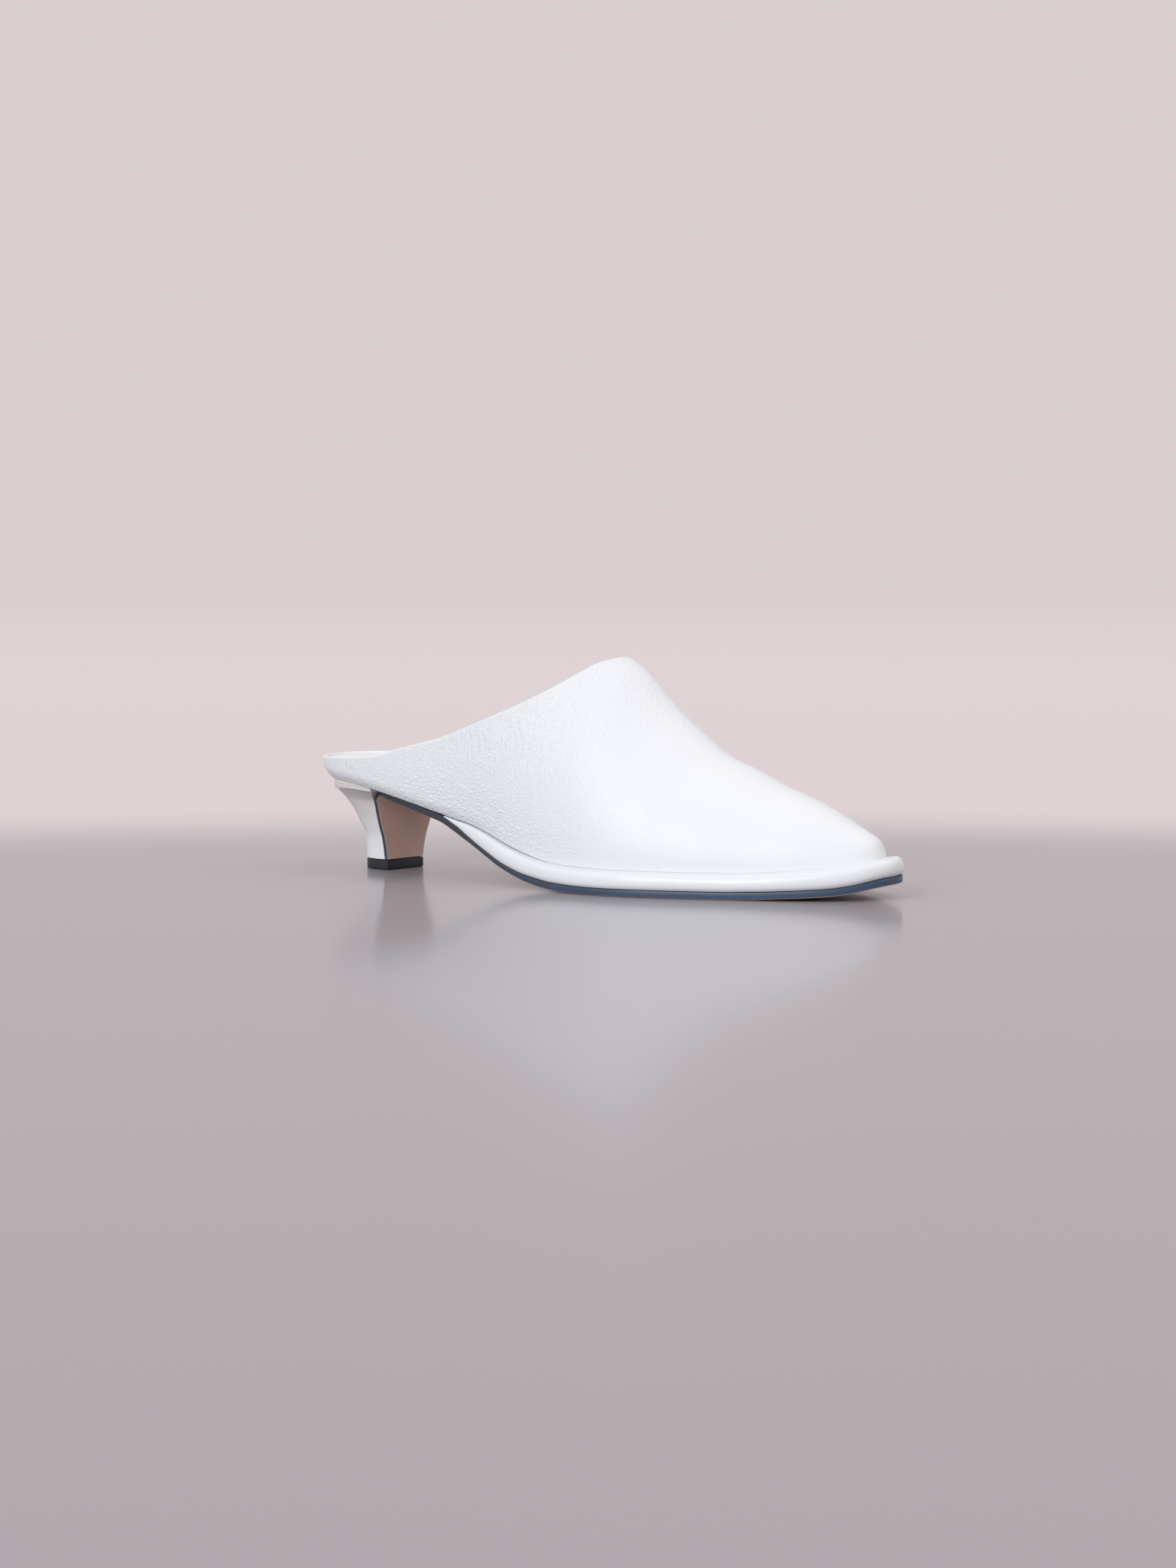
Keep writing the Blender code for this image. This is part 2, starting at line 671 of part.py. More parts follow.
def make_heel(collection):
    front_path, _ = flap_path(CLEARANCE)
    layers = []
    for level in np.linspace(0, 1, HEEL_LEVELS + 1):
        front = BREAST_PLACE
        for _ in range(FRONT_PASSES):
            height = HEEL_BOTTOM + (heel_top(front) - HEEL_BOTTOM) * level
            front = np.interp(height, front_path[:, 1], front_path[:, 0])
        seat_length = BREAST_PLACE - HEEL_SEAT_INSET
        length = HEEL_TIP_LENGTH + (seat_length - HEEL_TIP_LENGTH) * ring_length(level)
        ring = heel_outline(BREAST_PLACE - length, front, level)
        layers.append(
            [
                np.column_stack([plan, HEEL_BOTTOM + (heel_top(plan[:, 0]) - HEEL_BOTTOM) * level])
                for plan in ring
            ]
        )
    return layered_object("heel", layers, [WRAPPED_HEEL], collection)


def make_heel_top_piece(collection):
    front = BREAST_PLACE + CLEARANCE + FLAP_THICKNESS
    ring = heel_outline(BREAST_PLACE - HEEL_TIP_LENGTH, front, 0.0)
    layers = [
        [np.column_stack([plan, np.full(len(plan), height)]) for plan in ring]
        for height in (0.0, TOP_PIECE_HEIGHT)
    ]
    return layered_object("heel_top_piece", layers, [TIP_RUBBER], collection)


def centre_on_floor(parts):
    """Puts the middle of the shoe's outer box over the frame's origin."""
    corners = np.array([vertex.co[:2] for part in parts for vertex in part.data.vertices])
    middle = (corners.min(axis=0) + corners.max(axis=0)) / 2
    for part in parts:
        part.location = (-middle[0], -middle[1], 0.0)


def main():
    for old in list(bpy.data.objects):
        bpy.data.objects.remove(old, do_unlink=True)
    collection = bpy.data.collections.new("kitten_heel_mule")
    bpy.context.scene.collection.children.link(collection)
    makers = (
        make_upper,
        make_insole,
        make_midsole_rand,
        make_outsole,
        make_heel_seat_rand,
        make_heel,
        make_heel_top_piece,
    )
    centre_on_floor([make(collection) for make in makers])


main()
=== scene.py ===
"""The looks of a white kitten heel mule, a right shoe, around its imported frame.

Lengths are in metres. The shapes are worked out from the last, as in the part's source, with more divisions.
"""

from collections import namedtuple

import bmesh
import bpy
import numpy as np
from mathutils import Matrix, Vector


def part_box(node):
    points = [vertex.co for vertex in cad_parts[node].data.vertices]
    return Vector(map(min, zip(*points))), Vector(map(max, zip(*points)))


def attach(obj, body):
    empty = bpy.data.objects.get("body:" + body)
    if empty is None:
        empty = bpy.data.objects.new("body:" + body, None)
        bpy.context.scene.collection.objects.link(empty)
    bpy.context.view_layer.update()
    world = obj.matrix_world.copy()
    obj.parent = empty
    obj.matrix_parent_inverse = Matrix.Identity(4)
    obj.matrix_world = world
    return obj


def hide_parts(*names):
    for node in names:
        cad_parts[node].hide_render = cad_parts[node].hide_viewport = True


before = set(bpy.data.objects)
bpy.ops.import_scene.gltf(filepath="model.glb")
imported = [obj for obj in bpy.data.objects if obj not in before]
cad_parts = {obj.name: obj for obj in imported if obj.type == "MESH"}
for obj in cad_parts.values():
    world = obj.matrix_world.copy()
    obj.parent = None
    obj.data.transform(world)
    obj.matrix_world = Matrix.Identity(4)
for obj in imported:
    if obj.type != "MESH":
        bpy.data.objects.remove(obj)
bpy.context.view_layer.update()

# The last
LAST_LENGTH = 0.2475  # along the feather line, heel to toe
BALL_WIDTH = 0.0723  # of the feather line
INSTEP_HEIGHT = 0.0867  # from the floor to the crest, at the instep
SEAT_HEIGHT = 0.0361  # from the floor to the feather line, at the back of the heel
TOE_SPRING = 0.0067  # of the feather line
SPRING_SKEW = 0.35  # the spring rises more towards the inner side: how far ahead that side is, per width
THROAT_REACH = 0.1365  # from the back of the feather line to the front of the opening
BACK_RIM = 0.0078  # height of the upper behind the heel, above the feather line
HEEL_SWELL = 0.0024  # how far the upper swells out over the feather line
HEEL_SWELL_HEIGHT = 0.0045

# Walls and layers
CLEARANCE = 0.0003  # left between pieces that meet
UPPER_WALL = 0.0018
INSOLE_HEEL_THICKNESS = 0.0065
INSOLE_TOE_THICKNESS = 0.0028
INSOLE_TOE_INSET = 0.011  # room under the toe's roof
RAND_HEIGHT = 0.0056
RAND_REACH = 0.0067  # past the feather line, at the toe
SOLE_THICKNESS = 0.0030
SOLE_REACH = 0.0062
FLAP_THICKNESS = 0.0012  # of the sole where it runs down the front of the heel

# The heel
BREAST_PLACE = 0.0295  # front face of the heel, from the back of the feather line
FLAP_BEND = 0.0095  # how far in front of that face the sole bends down
FLAP_BEND_DROP = 0.005  # how far below the waist the bend is over
BEND_LOWER_HANDLE = 0.55  # share of that drop
BEND_UPPER_HANDLE = 0.55  # share of the bend's reach in front of the heel
SEAT_RAND_THICKNESS = 0.0042  # at the back
SEAT_RAND_FRONT_THICKNESS = 0.0010
SEAT_RAND_LENGTH = 0.0335
SEAT_RAND_INSET = 0.0006
HEEL_SEAT_INSET = 0.0014
HEEL_SEAT_WIDTH = 0.0475
HEEL_TIP_LENGTH = 0.0154
HEEL_TIP_WIDTH = 0.0216
HEEL_TIP_OFFSET = 0.0013  # of its middle, towards the outer side
TOP_PIECE_HEIGHT = 0.0040

Feather = namedtuple("Feather", "along lateral medial")  # shares of the ball width
Profile = namedtuple("Profile", "along rise")  # share of the seat's rise over the tread, or of the toe spring
Crest = namedtuple("Crest", "along rise across")  # shares of the instep's rise and of the ball width
Topline = namedtuple("Topline", "along rise")  # shares of the throat's reach and of its rise
Section = namedtuple("Section", "along bulge crown swell")  # shares of height, half width and heel swell
Layer = namedtuple("Layer", "along rand sole reach")  # shares of each layer's own sizes
Insole = namedtuple("Insole", "along thinning inset")  # shares of its thinning and of its toe inset
RandPlan = namedtuple("RandPlan", "along reach")  # share of the rand's reach
Edge = namedtuple("Edge", "reach height")  # shares of the rand's reach and height
HeelRing = namedtuple("HeelRing", "height length width")  # from the tip, 0, to the seat, 1
SoleEdge = namedtuple("SoleEdge", "depth inset")  # share of the sole's thickness, and metres

FEATHER = [
    Feather(0.000, 0.000, 0.000),
    Feather(0.029, 0.237, 0.237),
    Feather(0.070, 0.324, 0.324),
    Feather(0.111, 0.353, 0.353),
    Feather(0.176, 0.360, 0.353),
    Feather(0.236, 0.360, 0.332),
    Feather(0.297, 0.367, 0.311),
    Feather(0.358, 0.387, 0.304),
    Feather(0.418, 0.422, 0.318),
    Feather(0.479, 0.463, 0.360),
    Feather(0.539, 0.505, 0.415),
    Feather(0.600, 0.530, 0.470),
    Feather(0.661, 0.516, 0.512),
    Feather(0.721, 0.456, 0.532),
    Feather(0.782, 0.367, 0.528),
    Feather(0.842, 0.267, 0.503),
    Feather(0.900, 0.166, 0.456),
    Feather(0.940, 0.083, 0.407),
    Feather(0.968, 0.010, 0.347),
    Feather(0.988, -0.060, 0.280),
    Feather(1.000, -0.166, 0.166),
]

SEAT_PROFILE = [
    Profile(0.000, 1.000),
    Profile(0.075, 0.970),
    Profile(0.135, 0.892),
    Profile(0.180, 0.803),
    Profile(0.220, 0.720),
    Profile(0.281, 0.590),
    Profile(0.309, 0.537),
    Profile(0.343, 0.478),
    Profile(0.367, 0.420),
    Profile(0.392, 0.346),
    Profile(0.416, 0.270),
    Profile(0.441, 0.198),
    Profile(0.467, 0.136),
    Profile(0.491, 0.089),
    Profile(0.515, 0.050),
    Profile(0.545, 0.022),
    Profile(0.590, 0.006),
    Profile(0.632, 0.000),
]

SPRING_PROFILE = [
    Profile(0.790, 0.000),
    Profile(0.834, 0.050),
    Profile(0.879, 0.185),
    Profile(0.913, 0.280),
    Profile(0.947, 0.380),
    Profile(0.978, 0.530),
    Profile(1.019, 0.860),
    Profile(1.032, 0.950),
    Profile(1.046, 1.000),
]

INSTEP_ALONG = 0.5515
CREST = [
    Crest(0.000, 1.000, 0.000),
    Crest(0.193, 1.125, 0.010),
    Crest(0.317, 1.210, 0.020),
    Crest(0.399, 1.210, 0.030),
    Crest(0.479, 1.120, 0.040),
    Crest(0.519, 1.052, 0.045),
    Crest(INSTEP_ALONG, 1.000, 0.048),
    Crest(0.570, 0.972, 0.053),
    Crest(0.590, 0.918, 0.060),
    Crest(0.640, 0.752, 0.075),
    Crest(0.686, 0.632, 0.088),
    Crest(0.721, 0.547, 0.098),
    Crest(0.762, 0.493, 0.110),
    Crest(0.822, 0.402, 0.125),
    Crest(0.883, 0.316, 0.140),
    Crest(0.940, 0.210, 0.152),
    Crest(0.968, 0.151, 0.158),
    Crest(0.988, 0.106, 0.162),
    Crest(1.000, 0.000, 0.166),
]

TOPLINE = [
    Topline(0.000, 0.000),
    Topline(0.077, 0.005),
    Topline(0.194, 0.040),
    Topline(0.257, 0.071),
    Topline(0.308, 0.113),
    Topline(0.359, 0.164),
    Topline(0.429, 0.230),
    Topline(0.541, 0.336),
    Topline(0.615, 0.417),
    Topline(0.692, 0.513),
    Topline(0.795, 0.668),
    Topline(0.883, 0.807),
    Topline(0.934, 0.900),
    Topline(0.963, 0.958),
    Topline(1.000, 1.000),
]

SECTIONS = [
    Section(0.000, 0.16, 0.38, 1.00),
    Section(0.111, 0.10, 0.38, 0.85),
    Section(0.235, 0.08, 0.38, 0.75),
    Section(0.358, 0.08, 0.38, 0.60),
    Section(0.440, 0.07, 0.38, 0.30),
    Section(0.564, 0.05, 0.38, 0.00),
    Section(0.750, 0.06, 0.42, 0.00),
    Section(0.880, 0.06, 0.46, 0.00),
    Section(1.000, 0.06, 0.50, 0.00),
]
SECTION_RISE = 0.5  # height of the section's lower handle

LAYERS = [
    Layer(0.150, 0.00, 0.97, -0.64),
    Layer(0.193, 0.00, 1.00, -0.40),
    Layer(0.275, 0.00, 1.00, -0.09),
    Layer(0.319, 0.32, 0.97, 0.12),
    Layer(0.345, 0.66, 0.80, 0.22),
    Layer(0.371, 0.88, 0.71, 0.31),
    Layer(0.398, 1.00, 0.69, 0.42),
    Layer(0.437, 1.08, 0.72, 0.53),
    Layer(0.475, 1.07, 0.85, 0.57),
    Layer(0.515, 1.00, 1.00, 0.60),
    Layer(0.605, 1.00, 1.00, 0.63),
    Layer(0.850, 1.00, 1.00, 0.80),
    Layer(0.920, 1.11, 1.00, 0.88),
    Layer(1.000, 1.17, 1.00, 1.00),
]
RAND_START_ALONG = 0.290

INSOLE = [
    Insole(0.00, 0.00, 0.00),
    Insole(0.30, 0.20, 0.00),
    Insole(0.55, 0.75, 0.00),
    Insole(0.78, 0.92, 0.26),
    Insole(1.00, 1.00, 1.00),
]

RAND_PLAN = [
    RandPlan(RAND_START_ALONG, 0.05),
    RandPlan(0.360, 0.36),
    RandPlan(0.440, 0.58),
    RandPlan(0.605, 0.69),
    RandPlan(0.850, 0.82),
    RandPlan(1.000, 1.00),
]

RAND_EDGE = [
    Edge(0.82, 0.00),
    Edge(0.97, 0.18),
    Edge(1.00, 0.45),
    Edge(0.92, 0.75),
    Edge(0.70, 0.95),
    Edge(0.35, 1.00),
]

HEEL_RINGS = [
    HeelRing(0.00, 0.000, 0.000),
    HeelRing(0.16, -0.032, 0.060),
    HeelRing(0.32, -0.035, 0.150),
    HeelRing(0.50, 0.135, 0.310),
    HeelRing(0.67, 0.355, 0.430),
    HeelRing(0.83, 0.677, 0.540),
    HeelRing(1.00, 1.000, 1.000),
]
HEEL_ROUNDNESS = 2.2  # exponent of the rings' outline: 2 is an ellipse

# How finely the pieces are divided
LATERAL, MEDIAL = -1, 1
SIDES = (LATERAL, MEDIAL)
SMALL = 1e-4  # a step of a share, for slopes
TOPLINE_STEPS = 4001
FRONT_PASSES = 12  # to settle where the heel's sloping rings meet its front
WELD_DISTANCE = 1e-6
SHARP_ANGLE = np.radians(40)
UPPER_ROWS = 30
ROW_CROWDING = 1.35  # towards the feather line
BACK_COLUMNS = 56
FRONT_COLUMNS = 46
FRONT_CROWDING = 1.2  # towards the opening
PLATE_STATIONS = 220
HEEL_STATIONS = 56
HEEL_LEVELS = 60
FLAP_STATIONS = 30
BEND_STATIONS = 30
RAND_ROWS = 16

# Soft edges, in metres or as shares of the last's length
CONTACT = 0.00003  # left between leathers that are glued
SEAM_SINK = 0.0002  # of a soft edge into the piece below it
RIM_FOLD = 0.0005  # how far the folded edge's corners lie below its middle
RIM_LIFT = 0.0004  # of the folded edge, which the smoothing lowers
TOE_ROUNDING_START, TOE_ROUNDING_FULL = 0.87, 0.93  # along
TOE_ROUNDING_RISE = 0.0015  # kept above the feather line
THROAT_ROUNDING_REACH = 0.013  # round the front of the opening
THROAT_ROUNDING_SHARE = 0.8
ROUNDING_STEP = 0.5  # share of the way to the middle of a point's neighbours
ROUNDING_PASSES = 14
SOCK_EDGE = 0.0005
SOCK_RISE = 0.0009  # of the padding at the heel
SOCK_RISE_END = 0.42  # along
SOCK_RISES = [0.0, 0.25, 0.5, 0.75, 1.0]  # shares of the insole's height
SOCK_ROUNDING = [(0.15, 0.5), (0.5, 0.13), (1.0, 0.0), (3.0, -0.1), (6.0, -0.15)]  # inset and drop, in edges
LEAN_START, LEAN_END = 0.30, 0.50  # along: where the insole's edge leaves the swollen wall
RAND_FILLET = [(0.22, 0.00005), (0.10, 0.0002), (0.03, 0.0004), (-0.05, 0.00045)]  # reach share, and lift
FILLET_START, FILLET_FULL = 0.44, 0.54  # along
SOLE_EDGE = [
    SoleEdge(1.00, 0.00085),
    SoleEdge(0.94, 0.00030),
    SoleEdge(0.88, 0.00000),
    SoleEdge(0.50, -0.00008),
    SoleEdge(0.10, 0.00000),
    SoleEdge(0.05, 0.00010),
    SoleEdge(0.00, 0.00030),
]
FLAP_FLARE_END = 0.86  # share of the heel's height up to which the sole on its front widens with it
SEAT_EDGE = [  # share of the height, and inset, with a groove between two layers
    (0.00, 0.00025),
    (0.10, 0.00000),
    (0.40, 0.00000),
    (0.47, 0.00030),
    (0.54, 0.00000),
    (0.90, 0.00000),
    (1.00, 0.00025),
]
TIP_EDGE = [(0.0, 0.0004), (0.0004, 0.0), (0.0036, 0.0), (0.0040, 0.0003)]  # height and inset

# Places in a piece's list of materials
LEATHER, LINING = 0, 1
PAINT, TREAD, RAW, SEAM = 0, 1, 2, 3
SOLE_KINDS = [RAW, RAW, PAINT, PAINT, SEAM, SEAM, TREAD, PAINT]  # of the bands, the bottom and the top

# Grain: shares of the last's length, and strengths
GRAIN_FADE_START, GRAIN_FADE_LENGTH = 0.36, 0.42
TOE_GRAIN = 0.14
HEEL_GRAIN, HEEL_GRAIN_END = 0.55, 0.2  # at the back, and where it is full
WAIST_GRAIN_RISE = 0.034  # height over the feather line at which the large cells end
WAIST_GRAIN_ALONG, WAIST_GRAIN_REACH = 0.40, 0.28
WAIST_GRAIN_STRENGTH = 1.6

# Leathers and paints: lengths in metres, and noises by their scale, detail and stretch
Pebbles = namedtuple("Pebbles", "size furrow stretch")  # cell size, and the furrow's share of it
Bumps = namedtuple("Bumps", "scale depth")
Ramp = namedtuple("Ramp", "axis start end colour")
LARGE_PEBBLES = Pebbles(0.0017, 0.40, (0.62, 0.85, 1.0))
SMALL_PEBBLES = Pebbles(0.0012, 0.34, (0.80, 0.90, 1.0))
SMALL_PEBBLE_DEPTH = 0.45  # share of the large ones'
WARP_SCALE, WARP_DETAIL = 0.5, 2.0  # of the noise that bends the furrows, for each cell
WARP_REACH = 1.3  # how far it bends them, in cells
NOISE_CENTRE = (0.5, 0.5, 0.5)
CREASES = (700.0, 2.0, (1.0, 1.0, 0.22))
CREASE_RANGE = (0.35, 0.65)
PORES = (2300.0, 3.0)
PORE_DEPTH = 0.10  # share of the grain's
GRAIN_DEPTH = 0.00021
GRAIN_CLOUDS = (28.0, 2.0)
GRAIN_CLOUD_SHADE = 0.25
GRAIN_SMOOTHING = 0.04  # how far the roughness falls where it is smoothest
FURROW_ROUGHNESS = 0.12
CLOUDS = (45.0, 3.0)
CLOUD_RANGE = (0.3, 0.7)
CLOUD_SHADE = 0.5
ROUGHNESS_SPREAD = 0.05
COAT_ROUGHNESS = 0.12
BUMP_DETAIL = 4.0
SMOOTH_BUMPS = Bumps(900.0, 0.00003)
PAINT_BUMPS = Bumps(700.0, 0.00004)
SOLE_BUMPS = Bumps(500.0, 0.00004)
RUBBER_BUMPS = Bumps(1400.0, 0.00006)
# Painted shade on the heel's cover: darker and warmer towards its seat, where it faces down under the upper
SEATWARD_PAINTED_SHADE = Ramp("Z", 0.010, 0.026, (0.66, 0.605, 0.60))
TOEWARD_TONE = Ramp("X", -0.05, 0.03, (0.041, 0.072, 0.130))
MIX_SOCKETS = {"RGBA": (0, 6, 7, 2), "FLOAT": (0, 2, 3, 0)}  # places of the share, two inputs and the result

# Studio: metres and degrees
FLOOR_RADIUS, FLOOR_CORNERS = 6.0, 96
FLOOR_CENTRE = (0.450, -0.576, 0.0)  # of the grey part
FLOOR_GREY, FLOOR_PALE = (0.35, 0.33, 0.35), (0.75, 0.68, 0.685)
FLOOR_PALING = (0.87, 1.10)  # distances from that centre
FLOOR_VANISHING = (2.0, 4.5)
FLOOR_ROUGHNESS, FLOOR_SPECULAR = 0.50, 0.30
FLOOR_COAT, FLOOR_COAT_ROUGHNESS = 0.6, 0.13
BACKDROP = (0.690, 0.620, 0.630, 1.0)
Light = namedtuple("Light", "name azimuth elevation width strength colour")  # azimuth 0 is +X
LIGHTS = [
    Light("key", -86.0, 27.0, 30.0, 1.52, (0.87, 0.975, 1.0)),
    Light("fill", 35.0, 50.0, 60.0, 0.60, (0.9, 0.98, 1.0)),
]
CAMERA_PLACE = (1.1958, -1.3748, 0.167)  # from the back of the feather line
CAMERA_AHEAD = (-0.616, 0.788)
CAMERA_PITCH = np.radians(4.25)
CAMERA_LENS = 105.47
CAMERA_SENSOR = 36.0


def column(table, name):
    """One column of a table of named rows."""
    return np.array([getattr(row, name) for row in table])


def smooth_curve(places, values):
    """A natural cubic through the points, level past its ends."""
    step = np.diff(places)
    slope = np.diff(values) / step
    last = len(places) - 1
    system = np.eye(last + 1)
    bends = np.zeros(last + 1)
    for i in range(1, last):
        system[i, i - 1 : i + 2] = step[i - 1], 2 * (step[i - 1] + step[i]), step[i]
        bends[i] = 6 * (slope[i] - slope[i - 1])
    bend = np.linalg.solve(system, bends)

    def curve(place):
        place = np.clip(place, places[0], places[-1])
        i = np.clip(np.searchsorted(places, place) - 1, 0, last - 1)
        gone = place - places[i]
        left = places[i + 1] - place
        cubic = (bend[i] * left**3 + bend[i + 1] * gone**3) / (6 * step[i])
        before = (values[i] / step[i] - bend[i] * step[i] / 6) * left
        after = (values[i + 1] / step[i] - bend[i + 1] * step[i] / 6) * gone
        return cubic + before + after

    return curve


def steady_curve(places, values):
    """A cubic through the points that never overshoots them, so level rows stay level."""
    step = np.diff(places)
    slope = np.diff(values) / step
    tangent = np.zeros(len(places))
    tangent[0] = slope[0]
    tangent[-1] = slope[-1]
    for i in range(1, len(places) - 1):
        if slope[i - 1] * slope[i] > 0:
            before = 2 * step[i] + step[i - 1]
            after = step[i] + 2 * step[i - 1]
            tangent[i] = (before + after) / (before / slope[i - 1] + after / slope[i])

    def curve(place):
        place = np.clip(place, places[0], places[-1])
        i = np.clip(np.searchsorted(places, place) - 1, 0, len(step) - 1)
        s = (place - places[i]) / step[i]
        ends = values[i] * (1 + 2 * s) * (1 - s) ** 2 + values[i + 1] * s**2 * (3 - 2 * s)
        return ends + step[i] * s * (1 - s) * (tangent[i] * (1 - s) - tangent[i + 1] * s)

    return curve


def ease(share):
    """A share from 0 to 1 that starts and ends level, and is held past its ends."""
    share = np.clip(share, 0, 1)
    return share * share * (3 - 2 * share)


def turn_of(along):
    """A share of the length as a share of a half turn, in which round ends are straight."""
    return np.arccos(1 - 2 * np.clip(along, 0, 1)) / np.pi


def along_of(turn):
    return (1 - np.cos(np.pi * turn)) / 2


def table_curve(table, name, make=steady_curve, place=lambda along: along):
    return make(place(column(table, "along")), column(table, name))


half_width = {
    LATERAL: table_curve(FEATHER, "lateral", smooth_curve, turn_of),
    MEDIAL: table_curve(FEATHER, "medial", smooth_curve, turn_of),
}
seat_share = table_curve(SEAT_PROFILE, "rise")
spring_share = table_curve(SPRING_PROFILE, "rise")
crest_share = table_curve(CREST, "rise", smooth_curve, turn_of)
crest_across = table_curve(CREST, "across", smooth_curve, turn_of)
topline_share = table_curve(TOPLINE, "rise", smooth_curve)
section_bulge = table_curve(SECTIONS, "bulge")
section_crown = table_curve(SECTIONS, "crown")
section_swell = table_curve(SECTIONS, "swell")
rand_share = table_curve(LAYERS, "rand")
sole_share = table_curve(LAYERS, "sole")
reach_share = table_curve(LAYERS, "reach")
insole_share = table_curve(INSOLE, "thinning")
insole_inset_share = table_curve(INSOLE, "inset")
rand_reach_share = table_curve(RAND_PLAN, "reach")
ring_length = steady_curve(column(HEEL_RINGS, "height"), column(HEEL_RINGS, "length"))
ring_width = steady_curve(column(HEEL_RINGS, "height"), column(HEEL_RINGS, "width"))

TREAD_RISE = SOLE_THICKNESS + RAND_HEIGHT + 2 * CLEARANCE  # feather line above the floor, at the tread
THROAT_TURN = turn_of(THROAT_REACH / LAST_LENGTH)
HEEL_BOTTOM = TOP_PIECE_HEIGHT + CLEARANCE


def feather_height(x, y=0.0):
    rise = (SEAT_HEIGHT - TREAD_RISE) * seat_share(x / LAST_LENGTH)
    return TREAD_RISE + rise + TOE_SPRING * spring_share((x + SPRING_SKEW * y) / LAST_LENGTH)


def feather_plan(turn, side):
    """The feather line seen from above."""
    x = LAST_LENGTH * along_of(turn)
    return np.stack([x, side * BALL_WIDTH * half_width[side](turn)], axis=-1)


def feather_outward(turn, side):
    """The level direction that points away from the foot."""
    ahead = feather_plan(turn + SMALL, side) - feather_plan(turn - SMALL, side)
    outward = side * np.stack([-ahead[..., 1], ahead[..., 0]], axis=-1)
    return outward / np.linalg.norm(outward, axis=-1, keepdims=True)


def outline(turn, side, reach):
    """The feather line moved outward by a reach, seen from above."""
    reach = np.broadcast_to(reach, np.shape(turn))
    return feather_plan(turn, side) + feather_outward(turn, side) * reach[..., None]


def crest_rise(turn):
    instep = INSTEP_HEIGHT - feather_height(INSTEP_ALONG * LAST_LENGTH)
    return instep * crest_share(turn)


def topline_rise(turn):
    """Height of the opening's edge above the feather line."""
    share = topline_share(LAST_LENGTH * along_of(turn) / THROAT_REACH)
    return BACK_RIM + (crest_rise(THROAT_TURN) - BACK_RIM) * share


def section_height(t):
    """Height along a section, as a share: t is 0 at the feather line and 1 at the crest."""
    return 3 * (1 - t) ** 2 * t * SECTION_RISE + 3 * (1 - t) * t**2 + t**3


def topline_place(turn):
    """Where the opening cuts each section, as its t."""
    t = np.linspace(0, 1, TOPLINE_STEPS)
    share = np.clip(topline_rise(turn) / np.maximum(crest_rise(turn), BACK_RIM), 0, 1)
    behind = along_of(turn) * LAST_LENGTH < THROAT_REACH - SMALL * LAST_LENGTH
    return np.where(behind, np.interp(share, section_height(t), t), 1.0)


def upper_face(turn, side, t):
    """Points of the upper's outer face."""
    along = along_of(turn)
    foot = feather_plan(turn, side)
    rise = crest_rise(turn)
    height = rise * section_height(t)
    low = 1 - np.clip(height / HEEL_SWELL_HEIGHT, 0, 1)
    swell = 3 * (1 - t) ** 2 * t * section_bulge(along) * rise
    swell = swell + HEEL_SWELL * section_swell(along) * (1 - low**2) * (1 - t) ** 2
    inward = 3 * (1 - t) * t**2 * (1 - section_crown(along)) + t**3
    crest_y = BALL_WIDTH * crest_across(turn)
    point = np.empty(np.shape(turn) + (3,))
    point[..., :2] = foot + feather_outward(turn, side) * swell[..., None]
    point[..., 1] += (crest_y - foot[..., 1]) * inward
    point[..., 2] = feather_height(point[..., 0], point[..., 1]) + height
    return point


def upper_outward(turn, side, t):
    """Unit normals of the outer face, level along the feather line and straight ahead at the toe."""
    along = upper_face(turn + SMALL, side, t) - upper_face(turn - SMALL, side, t)
    up = upper_face(turn, side, t + SMALL) - upper_face(turn, side, t - SMALL)
    normal = -side * np.cross(along, up)
    level = np.zeros(normal.shape)
    level[..., :2] = feather_outward(turn, side)
    normal = np.where((t < SMALL)[..., None], level, normal)
    normal = np.where((turn > 1 - SMALL)[..., None], (1.0, 0.0, 0.0), normal)
    return normal / np.linalg.norm(normal, axis=-1, keepdims=True)


def plate_layer(turns, reach, height):
    """One layer of a plate that follows the last: its outline at a reach, and its height at each place."""
    layer = []
    for side in SIDES:
        plan = outline(turns, side, reach)
        layer.append(np.column_stack([plan, height(*plan.T)]))
    return layer


def insole_inset(turns):
    """Room for the wall, and for the toe's roof where it comes down."""
    return UPPER_WALL + CLEARANCE + INSOLE_TOE_INSET * insole_inset_share(along_of(turns))


def insole_top(x, y):
    thinning = (INSOLE_TOE_THICKNESS - INSOLE_HEEL_THICKNESS) * insole_share(x / LAST_LENGTH)
    return feather_height(x, y) + INSOLE_HEEL_THICKNESS + thinning


def rand_top(x, y=0.0):
    return feather_height(x, y) - CLEARANCE


def rand_drop(x):
    """Depth of the rand and the clearance below it."""
    return (RAND_HEIGHT + CLEARANCE) * rand_share(x / LAST_LENGTH)


def sole_top(x, y=0.0):
    return rand_top(x, y) - rand_drop(x)


def bezier(handles, t):
    weights = np.stack([(1 - t) ** 3, 3 * (1 - t) ** 2 * t, 3 * (1 - t) * t**2, t**3], axis=-1)
    return weights @ np.array(handles)


